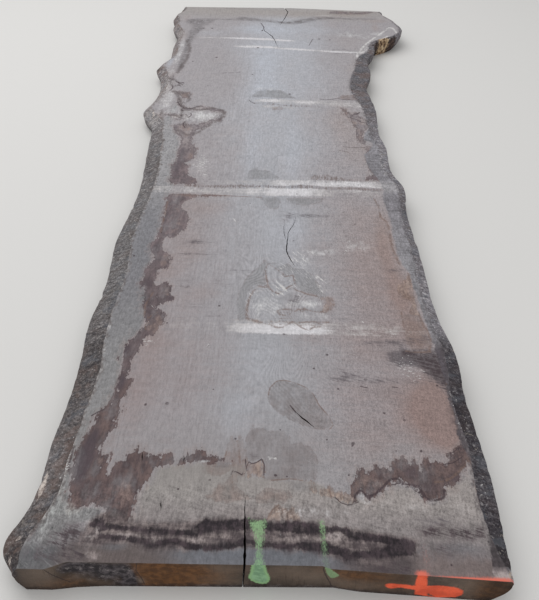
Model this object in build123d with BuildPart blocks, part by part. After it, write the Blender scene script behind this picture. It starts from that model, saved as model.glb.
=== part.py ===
from build123d import *
import os

# Overall size of the sawn slab, in millimetres.
# The near end is at -Y, the far end at +Y, and the sawn top face looks up +Z.
slab_length = 3000
slab_width = 900
slab_thickness = 76

# Live edges at the widest line of the bark side.
# Each place is a share of the length and how far the edge stands outside half the width.
left_edge = [
    (0.000, 8),
    (0.016, 40),
    (0.032, 28),
    (0.057, 10),
    (0.085, 13),
    (0.150, 7),
    (0.220, 20),
    (0.270, 12),
    (0.340, 22),
    (0.400, 10),
    (0.480, 11),
    (0.550, 28),
    (0.590, 46),
    (0.620, 88),
    (0.650, 68),
    (0.710, 62),
    (0.740, 82),
    (0.757, 100),
    (0.785, 68),
    (0.840, 66),
    (0.900, 70),
    (0.923, 98),
    (0.945, 98),
    (0.967, 115),
    (0.984, 90),
    (1.000, 90),
]
right_edge = [
    (0.000, 0),
    (0.050, 4),
    (0.090, 4),
    (0.150, -9),
    (0.195, -10),
    (0.222, -25),
    (0.270, -39),
    (0.340, -47),
    (0.405, -56),
    (0.440, -50),
    (0.470, -73),
    (0.495, -83),
    (0.530, -82),
    (0.560, -96),
    (0.635, -93),
    (0.690, -113),
    (0.712, -108),
    (0.745, -87),
    (0.785, -92),
    (0.804, -82),
    (0.820, -58),
    (0.848, -48),
    (0.864, -30),
    (0.880, 32),
    (0.897, 78),
    (0.914, 96),
    (0.945, 82),
    (0.970, 52),
    (0.989, 24),
    (1.000, 23),
]

# Wane: the width of the sloping natural surface between the live edge and the sawn face.
left_wane = [
    (0.00, 16),
    (0.02, 57),
    (0.06, 54),
    (0.12, 60),
    (0.26, 56),
    (0.52, 54),
    (0.62, 38),
    (0.80, 30),
    (1.00, 26),
]
right_wane = [
    (0.00, 6),
    (0.02, 38),
    (0.14, 38),
    (0.28, 26),
    (0.42, 22),
    (0.52, 32),
    (0.60, 40),
    (0.66, 70),
    (0.74, 76),
    (0.79, 50),
    (0.82, 34),
    (0.88, 16),
    (1.00, 14),
]

# The bark side from the underside up, in rising order.
# Each level is a share of the thickness, the undercut of the left and of the right edge,
# and the share of the left and of the right wane that is already cut back there.
edge_levels = [
    (0.00, 15, 34, 0.00, 0.00),
    (0.33, 4, 14, 0.00, 0.00),
    (0.62, 0, 4, 0.00, 0.00),
]
wane_levels = [
    (0.62, 0, 4, 0.00, 0.00),
    (0.92, 0, 0, 0.72, 0.06),
    (1.00, 0, 0, 1.00, 1.00),
]

# Saw cuts across the ends, made in more than one pass.
# Each place is its distance from the middle of the width and how far it stands outside the length.
near_cut_top = [(-800, 9), (-393, 5), (-357, -11), (106, -21), (119, -16), (800, 10)]
near_cut_under = [(-800, 12), (-370, 4), (-330, -5), (135, -20), (148, -15), (800, 8)]
far_cut = [(-800, 6), (10, 25), (800, -28)]
end_allowance = 120

# Drying checks. Each place is a distance from the middle of the width, a distance
# along the length from where the check is set out, and the opening there.
end_check = [(-33, -60, 7), (-33, 30, 5), (-35, 60, 4), (-38, 100, 2.5), (-40, 158, 0)]
far_check = [(-22, 70, 6), (-16, 20, 5), (1, -35, 4), (-14, -130, 3), (-35, -223, 0)]
far_split = [(-119, -238, 0), (-106, -300, 2), (-68, -370, 3), (-54, -415, 2), (-37, -510, 0)]
heart_check = [(52, 233, 0), (47, 195, 2), (30, 148, 3), (26, 58, 3), (33, 32, 3), (50, -12, 0)]
heart_branch = [(18, 213, 0), (17, 170, 2), (19, 138, 2), (25, 110, 0)]
knot_check = [(44, 40, 0), (57, 20, 3), (77, -1, 3), (98, -20, 0)]
heart_place = 0.304
knot_place = 0.119
surface_check_depth = 24
knot_check_depth = 16
clearance = 5

half_length = slab_length / 2


def value_at(sizes, share):
    """The size at a share of the length, read between the listed places."""
    for (start, low), (end, high) in zip(sizes, sizes[1:]):
        if share <= end:
            return low + (high - low) * (share - start) / (end - start)
    return sizes[-1][1]


def live_edge(edge, wane, side, undercut, wane_cut):
    """Points along one bark side at one level, from the near end to the far end."""
    points = []
    for share, outside in edge:
        inset = undercut + wane_cut * value_at(wane, share)
        points.append((side * (slab_width / 2 + outside - inset), (share - 0.5) * slab_length))
    near, far = points[0], points[-1]
    before = (near[0], near[1] - end_allowance)
    beyond = (far[0], far[1] + end_allowance)
    return [before] + points + [beyond]


def outline(level):
    """The closed outline of the slab at one level."""
    height, left_under, right_under, left_cut, right_cut = level
    left = live_edge(left_edge, left_wane, -1, left_under, left_cut)
    right = live_edge(right_edge, right_wane, 1, right_under, right_cut)
    with BuildSketch(Plane.XY.offset(height * slab_thickness)) as section:
        with BuildLine():
            Spline(*left)
            Line(left[-1], right[-1])
            Spline(*right[::-1])
            Line(right[0], left[0])
        make_face()
    return section.sketch


def end_waste(cut, end, height):
    """The wood beyond a saw cut at one height, as a closed outline."""
    past = end * (half_length + 2 * end_allowance)
    line = [(x, end * (half_length + outside)) for x, outside in cut]
    with BuildSketch(Plane.XY.offset(height)) as waste:
        with BuildLine():
            Polyline(*line, (line[-1][0], past), (line[0][0], past), close=True)
        make_face()
    return waste.sketch


def check(path, place, depth):
    """The outline of a narrow split, drawn at the depth it reaches below the sawn top face."""
    one_side = [(x - opening / 2, place + y) for x, y, opening in path]
    other_side = [(x + opening / 2, place + y) for x, y, opening in path if opening]
    with BuildSketch(Plane.XY.offset(slab_thickness - depth)) as split:
        with BuildLine():
            Polyline(*one_side, *other_side[::-1], close=True)
        make_face()
    return split.sketch


with BuildPart() as slab:
    # The bark side, then the wane above it
    loft([outline(level) for level in edge_levels])
    loft([outline(level) for level in wane_levels], ruled=True)

    # The saw cuts at both ends
    over = slab_thickness + clearance
    near_waste = [end_waste(near_cut_under, -1, -clearance), end_waste(near_cut_top, -1, over)]
    loft(near_waste, ruled=True, mode=Mode.SUBTRACT)
    far_waste = [end_waste(far_cut, 1, -clearance), end_waste(far_cut, 1, over)]
    loft(far_waste, ruled=True, mode=Mode.SUBTRACT)

    # The drying checks
    heart = (heart_place - 0.5) * slab_length
    knot = (knot_place - 0.5) * slab_length
    through = slab_thickness + clearance
    for path, place, depth in (
        (end_check, -half_length, through),
        (far_check, half_length, through),
        (far_split, half_length, surface_check_depth),
        (heart_check, heart, surface_check_depth),
        (heart_branch, heart, surface_check_depth),
        (knot_check, knot, knot_check_depth),
    ):
        split = check(path, place, depth)
        extrude(split, amount=depth + clearance, mode=Mode.SUBTRACT)

box = slab.part.bounding_box()
middle = box.center()
plank = slab.part.moved(Location((-middle.X, -middle.Y, -box.min.Z)))
plank.label = "slab"

os.makedirs("parts", exist_ok=True)
export_step(plank, "parts/slab.step")
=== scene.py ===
import bpy
import math
import numpy as np
from mathutils import Matrix, Vector
from mathutils.bvhtree import BVHTree


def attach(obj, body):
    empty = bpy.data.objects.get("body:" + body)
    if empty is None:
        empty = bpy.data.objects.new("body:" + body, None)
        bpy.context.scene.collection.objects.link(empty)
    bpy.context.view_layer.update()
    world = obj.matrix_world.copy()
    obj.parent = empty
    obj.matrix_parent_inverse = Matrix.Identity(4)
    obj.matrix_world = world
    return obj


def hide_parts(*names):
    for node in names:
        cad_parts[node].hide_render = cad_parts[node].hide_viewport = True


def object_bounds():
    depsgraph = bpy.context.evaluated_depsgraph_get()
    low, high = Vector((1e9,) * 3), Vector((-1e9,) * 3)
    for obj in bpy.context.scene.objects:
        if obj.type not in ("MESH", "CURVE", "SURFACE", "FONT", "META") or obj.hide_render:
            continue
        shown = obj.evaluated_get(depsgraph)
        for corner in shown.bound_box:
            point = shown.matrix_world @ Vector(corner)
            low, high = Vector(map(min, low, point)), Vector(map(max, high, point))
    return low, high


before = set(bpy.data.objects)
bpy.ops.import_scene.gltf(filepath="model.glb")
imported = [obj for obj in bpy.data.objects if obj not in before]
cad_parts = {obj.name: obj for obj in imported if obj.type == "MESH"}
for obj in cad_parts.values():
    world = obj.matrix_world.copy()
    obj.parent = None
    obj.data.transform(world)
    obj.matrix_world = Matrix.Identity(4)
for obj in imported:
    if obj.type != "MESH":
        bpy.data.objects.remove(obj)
cad_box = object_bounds()

# Camera at the photograph's viewpoint, in metres and degrees
EYE = (0.0358, -2.1372, 1.2585)
LOOK_DOWN = 49.4
TURN = 1.65
ROLL = 0.55
LENS = 46.753
SENSOR = 36.0

camera_data = bpy.data.cameras.new("camera")
camera = bpy.data.objects.new("camera", camera_data)
bpy.context.scene.collection.objects.link(camera)
bpy.context.scene.camera = camera
camera_data.sensor_fit = "HORIZONTAL"
camera_data.sensor_width = SENSOR
camera_data.lens = LENS
camera_data.clip_start = 0.05
camera_data.clip_end = 200
turned = Matrix.Rotation(math.radians(TURN), 4, "Z")
turned = turned @ Matrix.Rotation(math.radians(LOOK_DOWN), 4, "X")
turned = turned @ Matrix.Rotation(math.radians(ROLL), 4, "Z")
camera.matrix_world = Matrix.Translation(EYE) @ turned

# Sizes of the slab, in metres, in the shared frame
MM = 0.001
THICK = 0.076
HALF_LENGTH = 1.5
HALF_WIDTH = 0.45
LENGTH_MM = 3000
SHIFT_X = 0.009671
SHIFT_Y = -0.009734
NEAR_CUT_TOP = [(-800, 9), (-393, 5), (-357, -11), (106, -21), (119, -16), (800, 10)]
NEAR_CUT_UNDER = [(-800, 12), (-370, 4), (-330, -5), (135, -20), (148, -15), (800, 8)]
FAR_CUT = [(-800, 6), (10, 25), (800, -28)]
CUT_REACH = 0.005
LEVELS = [0.003, 0.1, 0.2, 0.33, 0.45, 0.55, 0.62, 0.7, 0.77, 0.84, 0.92, 0.96, 0.997]
SIDE_SEGMENTS = 18
SIDE_TRIES = 4
RAY_START = 1.2
TOP_COLUMNS = 180
UNDER_EVERY = 10
# Spacing of the cross sections: share of the length, spacing in mm
SPACING = [(0.0, 4.6), (0.13, 5.6), (0.3, 9.5), (1.0, 10.6)]
INSET = 0.0006
BOX_GAP = 0.0001
SIDE_GAP = 0.0002
FOOT_GAP = 0.0008
TOP_GAP = 0.0004
# Material slots of the slab
TOP, SIDE, END, UNDER, INSIDE = range(5)

# Relief of the bark sides: noise scale, octaves and size in metres, first of lumps, then flutes, then knobs
SIDE_RELIEF = [((12, 22, 1), 3, 0.0028), ((16, 90, 1), 2, 0.0008), ((46, 52, 1), 3, 0.0014)]
PIT_SCALE = (34, 44, 1)
PIT_START = 0.28
PIT_SIZE = 0.006
SIDE_SEEDS = {-1: 5, 1: 9}
SIDE_RUN = 0.11
# Where each side's noise is read, far from the other's
SIDE_APART = 3.7
# Shares of the way up over which the relief fades in and out
FADE_FOOT = 0.08
FADE_TOP = 0.10
# How far the arris and the foot wander sideways, and how fast that dies away from them
ARRIS_SLIDE = 0.0042
ARRIS_TEETH = 0.0016
FOOT_SLIDE = 0.003
ARRIS_PULL = 5
FOOT_PULL = 4
# Waves the saw left: size in metres, noise scale, seed and octaves
TOP_WAVES = [(0.00035, (4, 3, 1), 31, 3), (0.00012, (3, 70, 1), 32, 2)]
END_WAVES = [(0.0004, (40, 1, 260), 41, 2), (0.0006, (9, 1, 30), 42, 2)]


# Seeded noise, worked out per vertex

def lattice(corner, seed):
    """A value from -1 to 1 for each whole-number corner."""
    mask = 0xFFFFFFFF
    h = (corner[:, 0] * 374761393 + corner[:, 1] * 668265263 + corner[:, 2] * 1442695041) & mask
    h = (h + seed * 1274126177) & mask
    h = ((h ^ (h >> 13)) * 1274126177) & mask
    h = ((h ^ (h >> 15)) * 2246822519) & mask
    return ((h ^ (h >> 16)) & 0xFFFF) / 32767.5 - 1.0


def noise(points, scale, seed, octaves=3, gain=0.5):
    """Smooth noise at points, from about -1 to 1."""
    total = np.zeros(len(points))
    size = 1.0
    weight = 0.0
    p = np.asarray(points, float) * np.asarray(scale, float)
    for octave in range(octaves):
        base = np.floor(p).astype(np.int64)
        f = p - base
        f = f * f * (3 - 2 * f)
        value = np.zeros(len(p))
        for step in range(8):
            way = np.array([(step >> k) & 1 for k in range(3)])
            share = np.prod(np.where(way == 1, f, 1 - f), axis=1)
            value += share * lattice(base + way, seed + octave * 17)
        total += size * value
        weight += size
        size *= gain
        p = p * 2.03 + 11.7
    return total / weight


def on_plane(x, y):
    return np.stack([x, y, np.zeros_like(x)], axis=1)


def hollows(points, waves):
    """How far the saw dipped at each point, from waves of several sizes."""
    return sum(size * (1 + noise(points, scale, seed, octaves)) for size, scale, seed, octaves in waves)


# The slab's cross sections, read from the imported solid

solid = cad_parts["slab"]
corners = [v.co.copy() for v in solid.data.vertices]
faces = [list(p.vertices) for p in solid.data.polygons]
skin = BVHTree.FromPolygons(corners, faces)


def near_y(x, z):
    """The near cut, which leans a little between the underside and the top."""
    x = np.asarray(x, float) - SHIFT_X
    share = (np.asarray(z, float) + CUT_REACH) / (THICK + 2 * CUT_REACH)
    corners = [
        ((u[0] + (t[0] - u[0]) * share) * MM, (u[1] + (t[1] - u[1]) * share) * MM)
        for u, t in zip(NEAR_CUT_UNDER, NEAR_CUT_TOP)
    ]
    outside = np.zeros(np.broadcast(x, share).shape)
    for (x0, out0), (x1, out1) in zip(corners, corners[1:]):
        part = (x - x0) / (x1 - x0)
        outside = np.where((part >= 0) & (part <= 1), out0 + (out1 - out0) * part, outside)
    return -HALF_LENGTH - outside + SHIFT_Y


def far_y(x):
    """The far cut, in two straight passes."""
    places = [a * MM + SHIFT_X for a, outside in FAR_CUT]
    outsides = [outside * MM for a, outside in FAR_CUT]
    return HALF_LENGTH + np.interp(x, places, outsides) + SHIFT_Y


def along(x, z, share):
    """The place along the length at a share of the way from cut to cut."""
    start = near_y(x, z)
    return start + (far_y(x) - start) * share


def side_x(side, y, z):
    """Where the bark side lies at one height."""
    hit = skin.ray_cast(Vector((side * RAY_START, y, z)), Vector((-side, 0, 0)))[0]
    return hit.x


def station_shares():
    """Where the cross sections stand, closer together near the near end."""
    shares = [0.0]
    while shares[-1] < 1.0:
        gap = np.interp(shares[-1], [a for a, b in SPACING], [b for a, b in SPACING])
        shares.append(shares[-1] + gap / LENGTH_MM)
    return np.array(shares) / shares[-1]


SHARES = station_shares()
# Where the sawn face ends on each side, filled in when the mesh is made
arris = {}


def side_profile(side, share):
    """The bark side at one station, from the underside up, as evenly spaced points."""
    inside = min(max(share, INSET), 1 - INSET)
    line = []
    x = side * HALF_WIDTH
    for level in LEVELS:
        z = THICK * level
        for _ in range(SIDE_TRIES):
            x = side_x(side, along(x, z, inside), z)
        line.append((x, z))
    line[0] = (line[0][0], 0.0)
    line[-1] = (line[-1][0], THICK)
    line = np.array(line)
    run = np.concatenate([[0], np.cumsum(np.hypot(*np.diff(line, axis=0).T))])
    wanted = np.linspace(0, run[-1], SIDE_SEGMENTS + 1)
    return np.stack([np.interp(wanted, run, line[:, k]) for k in range(2)], axis=1)


def rough_side(side):
    """All of one bark side, with the ridges and hollows left where the bark came off."""
    lines = np.array([side_profile(side, s) for s in SHARES])
    count = len(SHARES)
    up = np.linspace(0, 1, SIDE_SEGMENTS + 1)
    x = lines[:, :, 0]
    z = lines[:, :, 1]
    y = along(x.ravel(), z.ravel(), np.repeat(SHARES, SIDE_SEGMENTS + 1)).reshape(x.shape)
    tangent_x = np.gradient(x, axis=1)
    tangent_z = np.gradient(z, axis=1)
    size = np.hypot(tangent_x, tangent_z)
    normal_x = side * tangent_z / size
    normal_z = -side * tangent_x / size
    run = up[None, :] * SIDE_RUN + np.zeros_like(x)
    where = np.stack([y.ravel(), run.ravel(), np.full(x.size, side * SIDE_APART)], axis=1)
    seed = SIDE_SEEDS[side]
    push = np.zeros_like(x)
    for number, (scale, octaves, height) in enumerate(SIDE_RELIEF):
        push += height * noise(where, scale, seed + number, octaves).reshape(x.shape)
    pits = noise(where, PIT_SCALE, seed + 3, 2).reshape(x.shape)
    push -= PIT_SIZE * np.clip(pits - PIT_START, 0, 1)
    fade = np.clip(up / FADE_FOOT, 0, 1) * np.clip((1 - up) / FADE_TOP, 0, 1)
    push = push * fade[None, :]
    x = x + push * normal_x
    z = z + push * np.abs(normal_z)
    high = np.stack([y[:, -1], np.zeros(count), np.full(count, side * 1.0)], axis=1)
    slide = ARRIS_SLIDE * noise(high, (14, 1, 1), seed + 4, 3)
    slide += ARRIS_TEETH * noise(high, (70, 1, 1), seed + 5, 2)
    x = x + slide[:, None] * up[None, :] ** ARRIS_PULL
    low = np.stack([y[:, 0], np.ones(count), np.full(count, side * 1.0)], axis=1)
    slide = FOOT_SLIDE * noise(low, (12, 1, 1), seed + 6, 3)
    x = x + slide[:, None] * (1 - up[None, :]) ** FOOT_PULL
    z[:, 1:-1] = np.clip(z[:, 1:-1], FOOT_GAP, THICK - TOP_GAP)
    x = np.clip(x, cad_box[0].x + SIDE_GAP, cad_box[1].x - SIDE_GAP)
    y = along(x.ravel(), z.ravel(), np.repeat(SHARES, SIDE_SEGMENTS + 1)).reshape(x.shape)
    return np.stack([x, y, z], axis=2)


def slab_mesh():
    """One closed mesh: bark sides, both sawn faces and both sawn ends."""
    left = rough_side(-1)
    right = rough_side(1)
    arris["left"] = (left[:, -1, 1], left[:, -1, 0])
    arris["right"] = (right[:, -1, 1], right[:, -1, 0])
    count = len(SHARES)
    across = np.linspace(0, 1, TOP_COLUMNS + 1)
    places = []

    def add(grid):
        """Keeps a grid of points and gives the numbers they get."""
        start = sum(len(p) for p in places)
        flat = grid.reshape(-1, 3)
        places.append(flat)
        return start + np.arange(len(flat)).reshape(grid.shape[:2])

    left_at = add(left)
    right_at = add(right)

    def between(row_left, row_right, columns, shares):
        """Points strictly between the two sides, on the cuts' slant."""
        x = row_left[:, None, 0] + (row_right[:, None, 0] - row_left[:, None, 0]) * columns
        z = row_left[:, None, 2] + (row_right[:, None, 2] - row_left[:, None, 2]) * columns
        v = np.broadcast_to(np.asarray(shares, float)[:, None], x.shape)
        y = along(x.ravel(), z.ravel(), v.ravel()).reshape(x.shape)
        return np.stack([x, y, z], axis=2)

    top = between(left[:, -1], right[:, -1], across[1:-1], SHARES)
    top[:, :, 2] -= hollows(top.reshape(-1, 3), TOP_WAVES).reshape(top.shape[:2])
    top_in = add(top)
    top_at = np.concatenate([left_at[:, -1:], top_in, right_at[:, -1:]], axis=1)

    few = across[::UNDER_EVERY]
    under = between(left[:, 0], right[:, 0], few[1:-1], SHARES)
    under_in = add(under)
    under_at = np.concatenate([left_at[:, :1], under_in, right_at[:, :1]], axis=1)

    polygons = []
    slots = []

    def quads(at, slot, flip):
        """Four-sided faces over a grid of point numbers."""
        a = at[:-1, :-1].ravel()
        b = at[:-1, 1:].ravel()
        c = at[1:, 1:].ravel()
        d = at[1:, :-1].ravel()
        block = np.stack([a, b, c, d] if flip else [d, c, b, a], axis=1)
        polygons.extend(block.tolist())
        slots.extend([slot] * len(block))

    quads(top_at, TOP, True)
    quads(left_at, SIDE, True)
    quads(right_at, SIDE, False)
    quads(under_at, UNDER, False)

    for end in (0, count - 1):
        near = end == 0
        shares = [SHARES[end]] * (SIDE_SEGMENTS - 1)
        inner = between(left[end, 1:-1], right[end, 1:-1], across[1:-1], shares)
        depth = hollows(inner.reshape(-1, 3), END_WAVES)
        inner[:, :, 1] += (depth if near else -depth).reshape(inner.shape[:2])
        inner_at = add(inner)
        grid = np.concatenate([left_at[end, 1:-1, None], inner_at, right_at[end, 1:-1, None]], axis=1)
        grid = np.concatenate([grid, top_at[end][None, :]], axis=0)
        quads(grid, END, near)
        coarse = under_at[end]
        fine = grid[0]
        for k in range(len(coarse) - 1):
            strip = list(fine[k * UNDER_EVERY:(k + 1) * UNDER_EVERY + 1])
            loop = [coarse[k], coarse[k + 1]] + strip[::-1]
            polygons.append([int(q) for q in (loop if near else loop[::-1])])
            slots.append(END)
    places = np.concatenate(places)
    places[:, 1] = np.clip(places[:, 1], cad_box[0].y + BOX_GAP, cad_box[1].y - BOX_GAP)
    return places, polygons, slots


def new_mesh(name, places, polygons, slots=None):
    mesh = bpy.data.meshes.new(name)
    mesh.from_pydata([tuple(p) for p in places], [], polygons)
    mesh.validate(verbose=False)
    if slots is not None:
        mesh.polygons.foreach_set("material_index", slots)
    mesh.update()
    return mesh


def new_object(name, mesh):
    thing = bpy.data.objects.new(name, mesh)
    bpy.context.scene.collection.objects.link(thing)
    return thing


# Drying checks: where each runs, its opening and its depth, in mm from the middle of the slab

CHECKS = {
    "end": ([(-23, -1575, 7), (-23, -1480, 5), (-25, -1450, 4), (-28, -1410, 2.8), (-30, -1352, 0.6)], 90),
    "far": ([(-12, 1560, 6), (-6, 1510, 5), (11, 1455, 4), (-4, 1360, 3), (-25, 1267, 0.6)], 90),
    "split": ([(-109, 1252, 0.6), (-96, 1190, 3), (-58, 1120, 4), (-44, 1075, 3), (-27, 980, 0.6)], 24),
    "heart": ([(62, -367, 0.6), (57, -405, 1.4), (40, -452, 2.0), (36, -540, 3), (43, -566, 3),
        (60, -610, 0.8)], 24),
    "branch": ([(28, -387, 0.6), (27, -430, 1.2), (29, -462, 1.4), (34, -486, 0.8)], 20),
    "knot": ([(58, -1120, 0.4), (70, -1136, 1.6), (78, -1145, 3.4), (92, -1158, 3.8),
        (107, -1172, 0.6)], 16),
    "slit_left": ([(-249, -1252, 0.6), (-248, -1264, 3.2), (-247, -1277, 0.6)], 6),
    "slit_middle": ([(-163, -1256, 0.6), (-162, -1266, 3.0), (-161, -1276, 0.6)], 6),
    "slit_low": ([(-193, -1364, 0.6), (-192, -1377, 3.2), (-191, -1388, 0.6)], 6),
}
CHECK_STEP = 7.0
CHECK_SEED = 61
CHECK_APART = 0.37
# How far a check wanders and how unevenly it opens
CHECK_WANDER = 1.1
CHECK_RAGGED = 0.45
LEAST_OPENING = 0.5
# The cutter's height above the face in metres, its width at the bottom and the end check's lean in mm
CHECK_OVER = 0.004
CHECK_FOOT = 0.35
END_LEAN = -6.0


def check_cutter(name, path, depth):
    """A narrow ragged wedge that opens a check."""
    path = np.array(path, float)
    run = np.concatenate([[0], np.cumsum(np.hypot(*np.diff(path[:, :2], axis=0).T))])
    steps = max(6, int(run[-1] / CHECK_STEP))
    wanted = np.linspace(0, run[-1], steps + 1)
    x, y, opening = [np.interp(wanted, run, path[:, k]) for k in range(3)]
    along_path = on_plane(wanted * MM, np.full(len(wanted), len(name) * CHECK_APART))
    x = x + CHECK_WANDER * noise(along_path, (110, 1, 1), CHECK_SEED, 2) * np.clip(opening, 0, 1)
    opening = opening * (1 + CHECK_RAGGED * noise(along_path, (90, 1, 1), CHECK_SEED + 1, 2))
    forward = np.stack([np.gradient(x), np.gradient(y)], axis=1)
    forward /= np.hypot(*forward.T)[:, None]
    side = np.stack([forward[:, 1], -forward[:, 0]], axis=1)
    places = []
    over = THICK + CHECK_OVER
    bottom = THICK - depth * MM
    lean = END_LEAN if name == "end" else 0.0
    ring = [(-1, over, 1, 0), (1, over, 1, 0), (1, bottom, CHECK_FOOT, lean), (-1, bottom, CHECK_FOOT, lean)]
    for k in range(len(x)):
        for sign, z, share, drift in ring:
            half = 0.5 * max(opening[k], LEAST_OPENING) * share * sign
            places.append(((x[k] + drift + side[k, 0] * half) * MM, (y[k] + side[k, 1] * half) * MM, z))
    polygons = []
    for k in range(len(x) - 1):
        for q in range(4):
            a = 4 * k + q
            b = 4 * k + (q + 1) % 4
            polygons.append([a, b, b + 4, a + 4])
    polygons.append([3, 2, 1, 0])
    last = 4 * (len(x) - 1)
    polygons.append([last, last + 1, last + 2, last + 3])
    mesh = new_mesh("cutter_" + name, places, polygons)
    mesh.flip_normals()
    volume = sum(
        Vector(places[p[0]]).dot(Vector(places[p[k]]).cross(Vector(places[p[k + 1]])))
        for p in polygons for k in range(1, len(p) - 1)
    )
    if volume > 0:
        mesh.flip_normals()
    return mesh


places, polygons, slots = slab_mesh()
slab = new_object("slab_timber", new_mesh("slab_timber", places, polygons, slots))


# Stains, paint and other marks on the sawn face, as outlines in mm from the middle of the slab

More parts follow.
